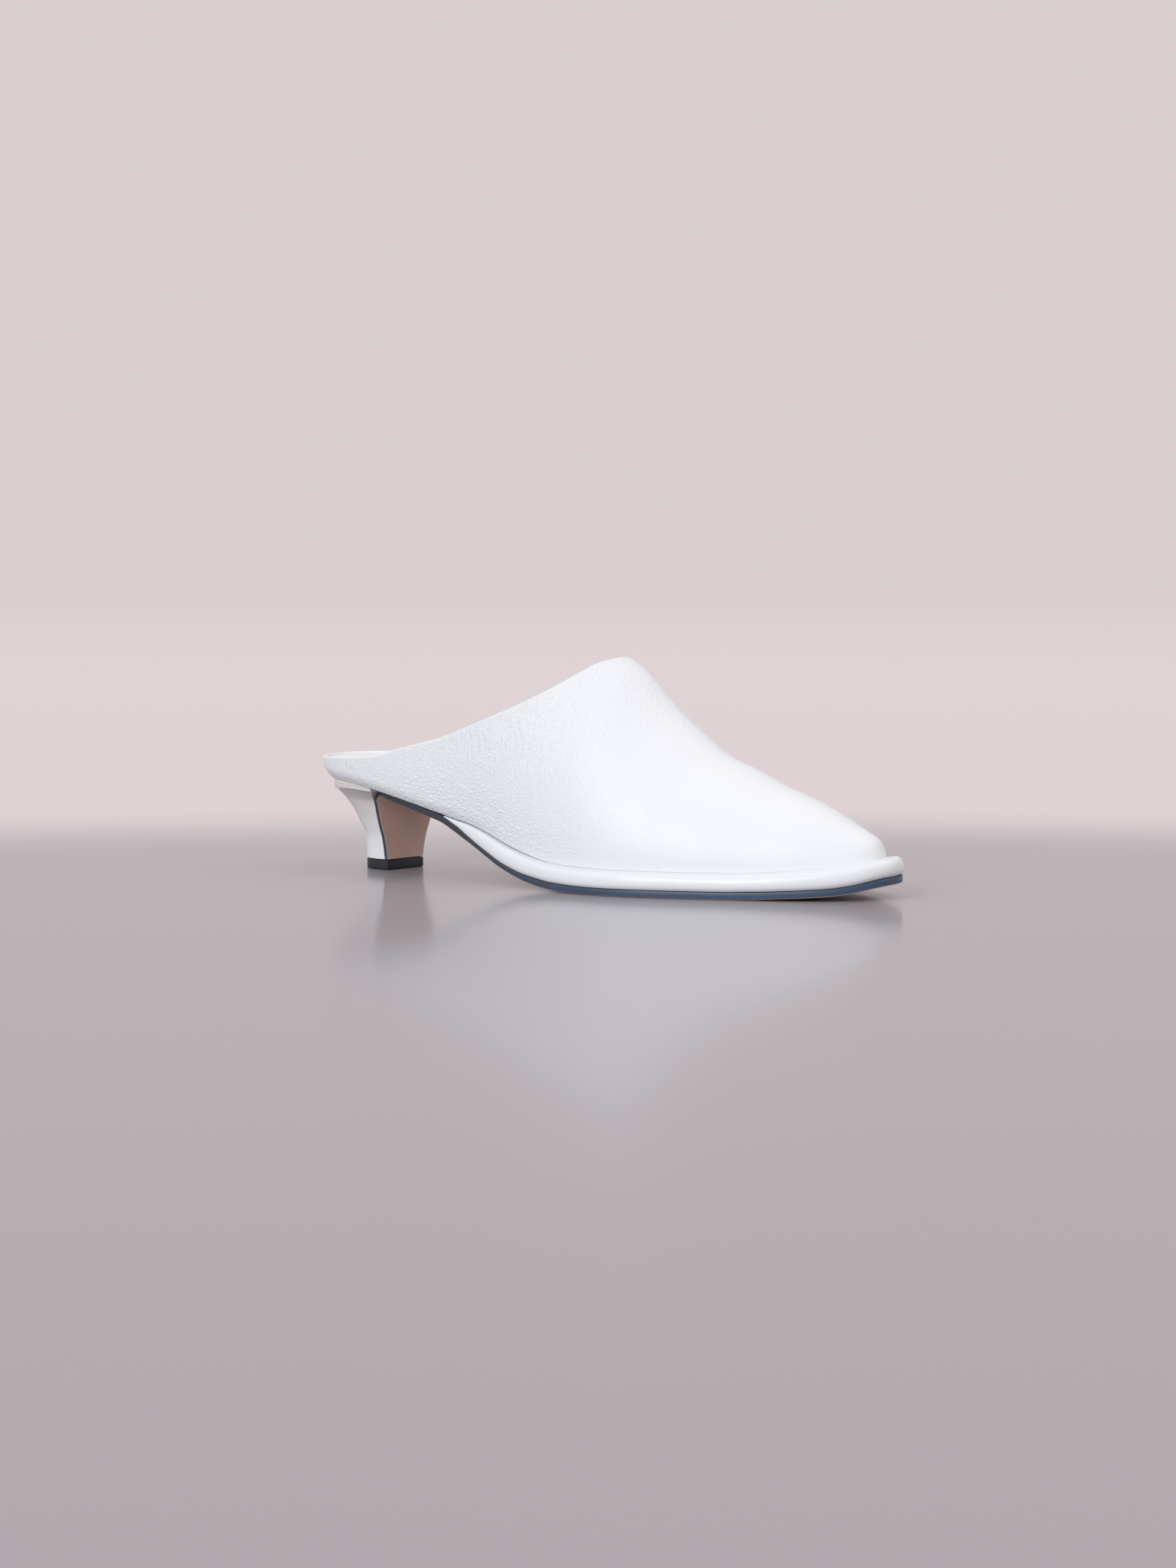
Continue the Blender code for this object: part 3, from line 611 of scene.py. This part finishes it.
def flap_path(gap):
    """The sole's inner face from the tip up the front of the heel and round its bend, as x and z.

    A gap moves it towards the heel. The second result points away from the heel, at each point.
    """
    x = BREAST_PLACE + CLEARANCE
    end_x = BREAST_PLACE + FLAP_BEND
    end_z = sole_top(end_x)
    slope = (sole_top(end_x + SMALL) - sole_top(end_x - SMALL)) / (2 * SMALL)
    start_z = end_z - FLAP_BEND_DROP
    handle = BEND_UPPER_HANDLE * FLAP_BEND
    handles = [
        (x, start_z),
        (x, start_z + BEND_LOWER_HANDLE * FLAP_BEND_DROP),
        (end_x - handle, end_z - handle * slope),
        (end_x, end_z),
    ]
    bend = bezier(handles, np.linspace(0, 1, BEND_STATIONS + 1))
    rise = np.linspace(HEEL_BOTTOM, start_z, FLAP_STATIONS + 1)[:-1]
    path = np.concatenate([np.column_stack([np.full(len(rise), x), rise]), bend])
    ahead = np.gradient(path, axis=0)
    ahead[: len(rise)] = (0, 1)
    ahead[-1] = (1, slope)
    away = np.column_stack([ahead[:, 1], -ahead[:, 0]])
    away /= np.linalg.norm(away, axis=1, keepdims=True)
    return path - gap * away, away


def heel_top(x):
    """The heel's seat, under the seat rand."""
    return seat_rand_bottom(x) - CLEARANCE


def seat_rand_bottom(x, y=0.0):
    share = np.clip(x / SEAT_RAND_LENGTH, 0, 1)
    fall = (SEAT_RAND_FRONT_THICKNESS - SEAT_RAND_THICKNESS) * share
    return rand_top(x, y) - SEAT_RAND_THICKNESS - fall


def heel_half_width(level):
    return (HEEL_TIP_WIDTH + (HEEL_SEAT_WIDTH - HEEL_TIP_WIDTH) * ring_width(level)) / 2


def heel_middle(level):
    return LATERAL * HEEL_TIP_OFFSET * (1 - ring_width(level))


def heel_outline(back, front, level):
    """A ring's lateral and medial points, from its round back to its flat front."""
    angle = np.linspace(0, np.pi / 2, HEEL_STATIONS)
    power = 2 / HEEL_ROUNDNESS
    x = front - (front - back) * np.cos(angle) ** power
    y = heel_half_width(level) * np.sin(angle) ** power
    return [np.column_stack([x, side * y + heel_middle(level)]) for side in SIDES]


# The middle of the shoe's box, from the back of the feather line: the frame's origin
tip_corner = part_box("heel_top_piece")[0]
MIDDLE = np.array(
    [
        BREAST_PLACE - HEEL_TIP_LENGTH - tip_corner.x,
        LATERAL * (HEEL_TIP_OFFSET + HEEL_TIP_WIDTH / 2) - tip_corner.y,
        0.0,
    ]
)


def mesh_piece(name, points, faces, materials, node, levels=0):
    """A piece of the shoe, in the frame's place, from faces whose last entry is the material's place."""
    mesh = bpy.data.meshes.new(name)
    shape = bmesh.new()
    verts = [shape.verts.new(point) for point in np.asarray(points) - MIDDLE]
    for corners in faces:
        face = shape.faces.new([verts[i] for i in corners[:-1]])
        face.material_index = corners[-1]
    bmesh.ops.remove_doubles(shape, verts=shape.verts, dist=WELD_DISTANCE)
    bmesh.ops.dissolve_degenerate(shape, edges=shape.edges, dist=WELD_DISTANCE)
    bmesh.ops.recalc_face_normals(shape, faces=shape.faces)
    shape.to_mesh(mesh)
    shape.free()
    for made in materials:
        mesh.materials.append(made)
    piece = bpy.data.objects.new(name, mesh)
    bpy.context.scene.collection.objects.link(piece)
    if levels:
        piece.modifiers.new("smooth", "SUBSURF").levels = levels
        graph = bpy.context.evaluated_depsgraph_get()
        smooth = bpy.data.meshes.new_from_object(piece.evaluated_get(graph))
        piece.modifiers.clear()
        piece.data = smooth
    piece.data.shade_smooth()
    if not levels:
        piece.data.set_sharp_from_angle(angle=SHARP_ANGLE)
    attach(piece, "root")
    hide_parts(node)
    return piece


def layered_piece(name, layers, materials, node, face_kinds=None):
    """A solid between layers, bottom first: each holds its lateral and its medial points, heel first.

    face_kinds gives each band's material, and then those of the bottom and the top.
    """
    face_kinds = face_kinds or [0] * (len(layers) + 1)
    points = np.array(layers)
    index = np.arange(points[..., 0].size).reshape(points.shape[:3])
    faces = []
    for kind, lower, upper in zip(face_kinds, index, index[1:]):
        for low, high in zip(lower, upper):
            faces += [(*quad, kind) for quad in zip(low, low[1:], high[1:], high)]
        for end in (0, -1):
            faces.append((lower[0][end], lower[1][end], upper[1][end], upper[0][end], kind))
    for kind, (lateral, medial) in zip(face_kinds[-2:], (index[0], index[-1])):
        faces += [(*quad, kind) for quad in zip(lateral, lateral[1:], medial[1:], medial)]
    return mesh_piece(name, points.reshape(-1, 3), faces, materials, node)


def vertex_places(mesh):
    places = np.empty(len(mesh.vertices) * 3)
    mesh.vertices.foreach_get("co", places)
    return places.reshape(-1, 3)


# Materials


class Nodes:
    """A material's node tree, with short calls to add to it. Most of them give the new node's output."""

    def __init__(self, name):
        self.material = bpy.data.materials.new(name)
        self.material.use_nodes = True
        self.tree = self.material.node_tree
        self.shader = self.tree.nodes["Principled BSDF"]

    def put(self, socket, value):
        """Links another node's output to a socket, or sets the socket's own value."""
        if isinstance(value, bpy.types.NodeSocket):
            self.tree.links.new(value, socket)
        else:
            socket.default_value = value

    def fill(self, node, inputs):
        for key, value in inputs.items():
            self.put(node.inputs[key.replace("_", " ")], value)

    def add(self, kind, settings=None, **inputs):
        """A new node, with its settings and its inputs by name."""
        node = self.tree.nodes.new("ShaderNode" + kind)
        for key, value in (settings or {}).items():
            setattr(node, key, value)
        self.fill(node, inputs)
        return node

    def finish(self, **inputs):
        self.fill(self.shader, inputs)
        return self.material

    def maths(self, operation, a, b):
        node = self.add("Math", {"operation": operation})
        self.put(node.inputs[0], a)
        self.put(node.inputs[1], b)
        return node.outputs[0]

    def vector(self, operation, a, b):
        node = self.add("VectorMath", {"operation": operation})
        self.put(node.inputs[0], a)
        self.put(node.inputs["Scale" if operation == "SCALE" else 1], b)
        return node.outputs["Value" if operation == "DISTANCE" else "Vector"]

    def object_place(self):
        return self.add("TexCoord").outputs["Object"]

    def along_axis(self, axis):
        return self.add("SeparateXYZ", Vector=self.object_place()).outputs[axis]

    def stretched(self, stretch):
        return self.add("Mapping", Vector=self.object_place(), Scale=stretch).outputs[0]

    def noise(self, scale, detail, stretch=(1, 1, 1), output="Fac"):
        place = self.stretched(stretch)
        return self.add("TexNoise", Vector=place, Scale=scale, Detail=detail).outputs[output]

    def mask(self, name):
        return self.add("Attribute", {"attribute_name": name}).outputs["Fac"]

    def spread(self, value, low, high, to_low=0.0, to_high=1.0, smooth=False):
        """A value's range drawn out to another one, and held at its ends."""
        ends = dict(From_Min=low, From_Max=high, To_Min=to_low, To_Max=to_high)
        kind = "SMOOTHSTEP" if smooth else "LINEAR"
        return self.add("MapRange", {"interpolation_type": kind}, Value=value, **ends).outputs[0]

    def mix(self, share, first, second, kind="RGBA"):
        node = self.add("Mix", {"data_type": kind})
        *places, result = MIX_SOCKETS[kind]
        for place, value in zip(places, (share, first, second)):
            self.put(node.inputs[place], (*value, 1.0) if isinstance(value, tuple) else value)
        return node.outputs[result]

    def bump(self, height, distance):
        return self.add("Bump", Height=height, Distance=distance).outputs[0]

    def pebbles(self, kind):
        """0 in the furrows between the cells and 1 on them, with the furrows bent by a noise."""
        warp = self.noise(WARP_SCALE / kind.size, WARP_DETAIL, kind.stretch, "Color")
        warp = self.vector("SCALE", self.vector("SUBTRACT", warp, NOISE_CENTRE), WARP_REACH * kind.size)
        bent = self.vector("ADD", self.stretched(kind.stretch), warp)
        cells = self.add("TexVoronoi", {"feature": "DISTANCE_TO_EDGE"}, Vector=bent, Scale=1 / kind.size)
        return self.spread(cells.outputs["Distance"], 0.0, kind.furrow, smooth=True)


def grained_leather(name, colour, shade, roughness):
    """Pebbled leather: large cells at the waist, smaller ones with creases over it, and pores all over, with
    painted shade in the furrows.
    """
    n = Nodes(name)
    grain, waist = n.mask("grain"), n.mask("waist")
    furrow = n.mix(waist, n.pebbles(SMALL_PEBBLES), n.pebbles(LARGE_PEBBLES), "FLOAT")
    creases = n.spread(n.noise(*CREASES), *CREASE_RANGE, smooth=True)
    height = n.maths("MULTIPLY", furrow, n.mix(waist, SMALL_PEBBLE_DEPTH, 1.0, "FLOAT"))
    height = n.maths("ADD", height, n.maths("MULTIPLY", n.maths("SUBTRACT", 1.0, waist), creases))
    height = n.maths("MULTIPLY", height, grain)
    height = n.maths("ADD", height, n.maths("MULTIPLY", n.noise(*PORES), PORE_DEPTH))
    deep = n.maths("MULTIPLY", n.maths("SUBTRACT", 1.0, furrow), grain)
    cloud = n.noise(*GRAIN_CLOUDS)
    # Painted shade: the furrows between the cells are darkened towards the shade colour
    tone = n.mix(deep, colour, shade)
    tone = n.mix(n.spread(cloud, *CLOUD_RANGE, 0.0, GRAIN_CLOUD_SHADE), tone, shade)
    rough = n.spread(cloud, *CLOUD_RANGE, roughness - GRAIN_SMOOTHING, roughness + ROUGHNESS_SPREAD)
    rough = n.maths("ADD", rough, n.maths("MULTIPLY", deep, FURROW_ROUGHNESS))
    return n.finish(Base_Color=tone, Roughness=rough, Normal=n.bump(height, GRAIN_DEPTH))


def smooth_leather(name, colour, shade, roughness, bumps=SMOOTH_BUMPS, coat=0.0, ramp=None):
    """Smooth leather, paint or rubber. A ramp leads to another colour along an axis."""
    n = Nodes(name)
    if ramp:
        share = n.spread(n.along_axis(ramp.axis), ramp.start, ramp.end, smooth=True)
        colour = n.mix(share, colour, ramp.colour)
    cloud = n.noise(*CLOUDS)
    tone = n.mix(n.spread(cloud, *CLOUD_RANGE, 0.0, CLOUD_SHADE), colour, shade)
    rough = n.spread(cloud, *CLOUD_RANGE, roughness - ROUGHNESS_SPREAD, roughness + ROUGHNESS_SPREAD)
    if coat:
        n.finish(Coat_Weight=coat, Coat_Roughness=COAT_ROUGHNESS)
    fine = n.noise(bumps.scale, BUMP_DETAIL)
    return n.finish(Base_Color=tone, Roughness=rough, Normal=n.bump(fine, bumps.depth))


upper_leather = grained_leather("upper_leather", (0.86, 0.88, 0.905), (0.80, 0.82, 0.85), 0.42)
lining_leather = smooth_leather("lining_leather", (0.86, 0.87, 0.89), (0.83, 0.84, 0.86), 0.58)
rand_leather = smooth_leather("rand_leather", (0.83, 0.85, 0.875), (0.80, 0.82, 0.85), 0.32)
# The heel's cover, with painted shade that darkens it towards its seat
heel_leather = smooth_leather(
    "heel_leather", (0.90, 0.915, 0.94), (0.84, 0.85, 0.87), 0.22, coat=0.6, ramp=SEATWARD_PAINTED_SHADE
)
edge_paint = smooth_leather(
    "edge_paint", (0.034, 0.038, 0.050), (0.040, 0.055, 0.085), 0.42, PAINT_BUMPS, ramp=TOEWARD_TONE
)
seam_shade = smooth_leather("seam_shade", (0.012, 0.015, 0.022), (0.010, 0.012, 0.018), 0.7)
sole_leather = smooth_leather("sole_leather", (0.71, 0.50, 0.42), (0.63, 0.435, 0.36), 0.36, SOLE_BUMPS)
raw_edge = smooth_leather("raw_edge", (0.66, 0.54, 0.53), (0.60, 0.49, 0.48), 0.5)
seat_leather = smooth_leather("seat_leather", (0.74, 0.70, 0.68), (0.68, 0.64, 0.62), 0.5)
tip_rubber = smooth_leather("tip_rubber", (0.007, 0.010, 0.018), (0.012, 0.015, 0.023), 0.6, RUBBER_BUMPS)


# Upper


def upper_columns(depth):
    """The upper's face at a depth: columns from the toe's outer side round the heel to its inner side."""
    back = turn_of(THROAT_REACH / LAST_LENGTH * along_of(np.linspace(0, 1, BACK_COLUMNS + 1)))
    front = THROAT_TURN + (1 - THROAT_TURN) * np.linspace(0, 1, FRONT_COLUMNS + 1) ** FRONT_CROWDING
    turns = np.concatenate([back, front[1:]])
    t = topline_place(turns)[:, None] * np.linspace(0, 1, UPPER_ROWS + 1) ** ROW_CROWDING
    turn = np.broadcast_to(turns[:, None], t.shape)
    halves = [upper_face(turn, side, t) - depth * upper_outward(turn, side, t) for side in SIDES]
    return np.concatenate([halves[0][::-1], halves[1][1:]])


def make_upper():
    outer, inner = upper_columns(0), upper_columns(UPPER_WALL)
    columns, rows = outer.shape[:2]
    rim = slice(FRONT_COLUMNS, columns - FRONT_COLUMNS)
    ahead = np.gradient(outer[rim, -1], axis=0)
    up = np.cross(outer[rim, -1] - inner[rim, -1], ahead)
    up /= np.linalg.norm(up, axis=1, keepdims=True)
    up *= np.sign(up[BACK_COLUMNS, 2])
    up[0] = up[-1] = (up[0] + up[-1]) / 2  # the rim's two ends meet at the front of the opening
    middle = (outer[rim, -1] + inner[rim, -1]) / 2 + RIM_LIFT * up
    outer[rim, -1] -= (RIM_FOLD - RIM_LIFT) * up
    inner[rim, -1] -= (RIM_FOLD - RIM_LIFT) * up
    points = np.concatenate([outer.reshape(-1, 3), inner.reshape(-1, 3), middle])
    face, lining = np.arange(2 * columns * rows).reshape(2, columns, rows)
    fold = np.arange(2 * columns * rows, len(points))
    faces = []
    for i in range(columns - 1):
        for kind, grid in ((LEATHER, face), (LINING, lining)):
            faces += [(*quad, kind) for quad in zip(grid[i], grid[i + 1], grid[i + 1][1:], grid[i][1:])]
        faces.append((face[i][0], face[i + 1][0], lining[i + 1][0], lining[i][0], LEATHER))
        if FRONT_COLUMNS <= i < columns - 1 - FRONT_COLUMNS:
            k = i - FRONT_COLUMNS
            faces.append((face[i][-1], face[i + 1][-1], fold[k + 1], fold[k], LEATHER))
            faces.append((lining[i][-1], lining[i + 1][-1], fold[k + 1], fold[k], LINING))
    materials = [upper_leather, lining_leather]
    piece = mesh_piece("upper_shell", points, faces, materials, "upper", levels=1)
    soften_toe_and_throat(piece.data)
    add_grain_masks(piece.data)


def soften_toe_and_throat(mesh):
    """Softens the ridge round the toe's roof and the corner of the opening, as leather drawn over a last."""
    places = vertex_places(mesh)
    ends = np.empty(len(mesh.edges) * 2, dtype=np.int64)
    mesh.edges.foreach_get("vertices", ends)
    first, second = ends.reshape(-1, 2).T
    x, y, z = (places + MIDDLE).T
    share = np.clip((x / LAST_LENGTH - TOE_ROUNDING_START) / (TOE_ROUNDING_FULL - TOE_ROUNDING_START), 0, 1)
    rise = np.clip((z - feather_height(x, y)) / TOE_ROUNDING_RISE - 1, 0, 1)
    throat = upper_face(np.array([THROAT_TURN]), LATERAL, np.array([1.0]))[0] - MIDDLE
    near = np.clip(1 - np.linalg.norm(places - throat, axis=1) / THROAT_ROUNDING_REACH, 0, 1)
    weight = ROUNDING_STEP * np.maximum(share * rise, THROAT_ROUNDING_SHARE * near)[:, None]
    count = np.bincount(ends, minlength=len(places))[:, None]
    for _ in range(ROUNDING_PASSES):
        total = np.zeros_like(places)
        np.add.at(total, first, places[second])
        np.add.at(total, second, places[first])
        places += weight * (total / count - places)
    mesh.vertices.foreach_set("co", places.ravel())
    mesh.update()


def add_grain_masks(mesh):
    """How strong the grain is, full over the quarters and faint at the toe, and where its cells are large."""
    x, y, z = (vertex_places(mesh) + MIDDLE).T
    along = x / LAST_LENGTH
    toe = ease((along - GRAIN_FADE_START) / GRAIN_FADE_LENGTH)
    heel = 1 - np.clip(along / HEEL_GRAIN_END, 0, 1)
    grain = (1 - (1 - TOE_GRAIN) * toe) * (1 - (1 - HEEL_GRAIN) * heel)
    low = np.clip(1 - (z - feather_height(x, y)) / WAIST_GRAIN_RISE, 0, 1)
    near = np.clip(1 - np.abs(along - WAIST_GRAIN_ALONG) / WAIST_GRAIN_REACH, 0, 1)
    waist = np.clip(WAIST_GRAIN_STRENGTH * low * np.sqrt(near), 0, 1)
    for name, values in (("grain", grain), ("waist", waist)):
        mask = mesh.attributes.new(name, "FLOAT", "POINT")
        mask.data.foreach_set("value", values.astype(np.float32))


# Insole, rand, sole


def padded_top(x, y):
    """The insole's top with its padding, which swells towards the heel."""
    return insole_top(x, y) + SOCK_RISE * ease(1 - x / LAST_LENGTH / SOCK_RISE_END)


def wall_lean(turns, side, rise):
    """How far the upper's face stands outside the feather line behind the waist, at a rise above it."""
    t = np.linspace(0, 1, TOPLINE_STEPS)
    place = np.interp(np.clip(rise / np.maximum(crest_rise(turns), BACK_RIM), 0, 1), section_height(t), t)
    off = upper_face(turns, side, place)[:, :2] - feather_plan(turns, side)
    lean = np.sum(off * feather_outward(turns, side), axis=1)
    return np.clip(lean, 0, None) * ease((LEAN_END - along_of(turns)) / (LEAN_END - LEAN_START))


def make_insole():
    """The padded lining, whose edge keeps to the wall and whose top is rounded off inside it."""
    turns = np.linspace(0, 1, PLATE_STATIONS)
    inset = insole_inset(turns) - CLEARANCE + CONTACT
    layers = []
    for rise in SOCK_RISES:
        layer = []
        for side in SIDES:
            plan = outline(turns, side, wall_lean(turns, side, rise * INSOLE_HEEL_THICKNESS) - inset)
            low, high = feather_height(*plan.T), padded_top(*plan.T) - SOCK_EDGE
            layer.append(np.column_stack([plan, low + (high - low) * rise]))
        layers.append(layer)
    for more, drop in SOCK_ROUNDING:
        layer = []
        for side in SIDES:
            reach = wall_lean(turns, side, INSOLE_HEEL_THICKNESS) - inset - more * SOCK_EDGE
            plan = outline(turns, side, reach)
            layer.append(np.column_stack([plan, padded_top(*plan.T) - SOCK_EDGE * drop]))
        layers.append(layer)
    piece = layered_piece("sock_lining", layers, [lining_leather], "insole")


def make_rand():
    """The wrapped platform's edge, with a small fillet where it meets the upper."""
    turns = np.linspace(turn_of(RAND_START_ALONG), 1, PLATE_STATIONS)
    reach = RAND_REACH * rand_reach_share(along_of(turns))
    run = np.linspace(0, 1, len(RAND_EDGE))
    out = smooth_curve(run, column(RAND_EDGE, "reach"))
    up = smooth_curve(run, column(RAND_EDGE, "height"))

    def level(share, lift=0.0):
        def height(x, y):
            bottom = sole_top(x, y) + CONTACT
            full = np.clip((x / LAST_LENGTH - FILLET_START) / (FILLET_FULL - FILLET_START), 0, 1)
            return bottom + (rand_top(x, y) - bottom) * share + lift * full

        return height

    rows = np.linspace(0, 1, RAND_ROWS)
    layers = [plate_layer(turns, reach * out(row), level(np.clip(up(row), 0, 1))) for row in rows]
    layers += [plate_layer(turns, reach * share, level(1, lift)) for share, lift in RAND_FILLET]
    layered_piece("rand_wrap", layers, [rand_leather], "midsole_rand")


def make_sole():
    """The sole, which bends down at the waist and covers the front of the heel."""
    path, away = flap_path(0)
    turn_at_bend = turn_of((BREAST_PLACE + FLAP_BEND) / LAST_LENGTH)
    turns = np.linspace(turn_at_bend, 1, PLATE_STATIONS)[1:]
    along = along_of(turns)
    level = (path[:, 1] - HEEL_BOTTOM) / (heel_top(BREAST_PLACE) - HEEL_BOTTOM)
    level = np.minimum(level, FLAP_FLARE_END)
    waist = {
        side: outline(turn_at_bend, side, SOLE_REACH * reach_share(along_of(turn_at_bend)))[1]
        for side in SIDES
    }
    bend = np.clip((path[:, 0] - path[0, 0]) / (path[-1, 0] - path[0, 0]), 0, 1)
    thin = FLAP_THICKNESS + bend * (SOLE_THICKNESS * sole_share(along_of(turn_at_bend)) - FLAP_THICKNESS)

    def layer(depth, inset):
        sides = []
        for side in SIDES:
            edge = side * heel_half_width(level) + heel_middle(level)
            y = edge + (waist[side] - edge) * bend - side * inset
            flap = path + away * (thin * depth)[:, None]
            back = np.column_stack([flap[:, 0], y, flap[:, 1]])
            plan = outline(turns, side, SOLE_REACH * reach_share(along) - inset)
            x, y = plan.T
            slope = (sole_top(x + SMALL, y) - sole_top(x - SMALL, y)) / (2 * SMALL)
            thickness = SOLE_THICKNESS * sole_share(along) * depth * np.hypot(1, slope)
            front = np.column_stack([plan, sole_top(x, y) - thickness])
            sides.append(np.concatenate([back, front]))
        return sides

    layers = [layer(edge.depth, edge.inset) for edge in SOLE_EDGE]
    materials = [edge_paint, sole_leather, raw_edge, seam_shade]
    layered_piece("sole_unit", layers, materials, "outsole", SOLE_KINDS)


# Heel


def make_seat_layers():
    """The thin layers between the upper and the heel, with a groove between them."""
    turns = np.linspace(0, turn_of(SEAT_RAND_LENGTH / LAST_LENGTH), HEEL_STATIONS)

    def level(share):
        def height(x, y):
            bottom = seat_rand_bottom(x, y) - CLEARANCE + CONTACT
            return bottom + (feather_height(x, y) + SEAM_SINK - bottom) * share

        return height

    layers = [plate_layer(turns, -SEAT_RAND_INSET - inset, level(share)) for share, inset in SEAT_EDGE]
    layered_piece("seat_layers", layers, [seat_leather], "heel_seat_rand")


def make_heel():
    front_path, _ = flap_path(CLEARANCE)
    growth = BREAST_PLACE - HEEL_SEAT_INSET - HEEL_TIP_LENGTH
    layers = []
    for level in np.linspace(0, 1, HEEL_LEVELS + 1):
        front = BREAST_PLACE
        for _ in range(FRONT_PASSES):
            height = HEEL_BOTTOM + (heel_top(front) - HEEL_BOTTOM) * level
            front = np.interp(height, front_path[:, 1], front_path[:, 0])
        back = BREAST_PLACE - HEEL_TIP_LENGTH - growth * ring_length(level)
        layer = []
        for plan in heel_outline(back, front, level):
            height = HEEL_BOTTOM + (heel_top(plan[:, 0]) - HEEL_BOTTOM) * level
            layer.append(np.column_stack([plan, height]))
        layers.append(layer)
    layered_piece("heel_cover", layers, [heel_leather], "heel")


def make_top_piece():
    front = BREAST_PLACE + CLEARANCE + FLAP_THICKNESS
    back = BREAST_PLACE - HEEL_TIP_LENGTH
    centre = np.array([(front + back) / 2, heel_middle(0.0)])
    half = np.array([(front - back) / 2, HEEL_TIP_WIDTH / 2])
    layers = []
    for height, inset in TIP_EDGE:
        layer = []
        for plan in heel_outline(back, front, 0.0):
            plan = centre + (plan - centre) * (1 - inset / half)
            layer.append(np.column_stack([plan, np.full(len(plan), height)]))
        layers.append(layer)
    layered_piece("top_lift", layers, [tip_rubber], "heel_top_piece")


make_upper()
make_insole()
make_rand()
make_sole()
make_seat_layers()
make_heel()
make_top_piece()


# Studio


def make_floor():
    """A pale grey floor that turns into the backdrop's colour behind the shoe."""
    n = Nodes("studio_floor")
    far = n.vector("DISTANCE", n.object_place(), FLOOR_CENTRE)
    tone = n.mix(n.spread(far, *FLOOR_PALING, smooth=True), FLOOR_GREY, FLOOR_PALE)
    n.finish(Base_Color=tone, Roughness=FLOOR_ROUGHNESS, Specular_IOR_Level=FLOOR_SPECULAR)
    material = n.finish(Coat_Weight=FLOOR_COAT, Coat_Roughness=FLOOR_COAT_ROUGHNESS)
    blend = n.add("MixShader")
    clear = n.add("BsdfTransparent").outputs[0]
    inputs = n.spread(far, *FLOOR_VANISHING, smooth=True), n.shader.outputs[0], clear
    for socket, value in zip(blend.inputs, inputs):
        n.put(socket, value)
    n.put(n.tree.nodes["Material Output"].inputs["Surface"], blend.outputs[0])
    bpy.ops.mesh.primitive_circle_add(
        vertices=FLOOR_CORNERS, radius=FLOOR_RADIUS, fill_type="NGON", location=(0, 0, 0)
    )
    floor = bpy.context.object
    floor.name = "floor"
    floor.data.materials.append(material)


def soft_light(name, azimuth, elevation, width, strength, colour):
    light = bpy.data.lights.new(name, "SUN")
    light.energy = strength
    light.angle = np.radians(width)
    light.color = colour
    lamp = bpy.data.objects.new(name, light)
    turn, rise = np.radians((azimuth, elevation))
    towards = Vector((np.cos(turn) * np.cos(rise), np.sin(turn) * np.cos(rise), np.sin(rise)))
    lamp.rotation_euler = towards.to_track_quat("Z", "Y").to_euler()
    bpy.context.scene.collection.objects.link(lamp)


def make_studio():
    make_floor()
    world = bpy.data.worlds.new("studio")
    world.use_nodes = True
    sky = world.node_tree.nodes["Background"]
    sky.inputs["Color"].default_value = BACKDROP
    sky.inputs["Strength"].default_value = 1.0
    bpy.context.scene.world = world
    for light in LIGHTS:
        soft_light(*light)
    bpy.context.scene.view_settings.view_transform = "Standard"


def make_camera():
    ahead = np.array([*CAMERA_AHEAD, 0.0]) / np.hypot(*CAMERA_AHEAD)
    look = Vector(ahead * np.cos(CAMERA_PITCH) - np.array([0, 0, np.sin(CAMERA_PITCH)]))
    right = look.cross(Vector((0, 0, 1))).normalized()
    up = right.cross(look)
    data = bpy.data.cameras.new("camera")
    data.lens = CAMERA_LENS
    data.sensor_width = CAMERA_SENSOR
    camera = bpy.data.objects.new("camera", data)
    turn = Matrix((right, up, -look)).transposed().to_4x4()
    camera.matrix_world = Matrix.Translation(Vector(np.array(CAMERA_PLACE) - MIDDLE)) @ turn
    bpy.context.scene.collection.objects.link(camera)
    bpy.context.scene.camera = camera


make_studio()
make_camera()
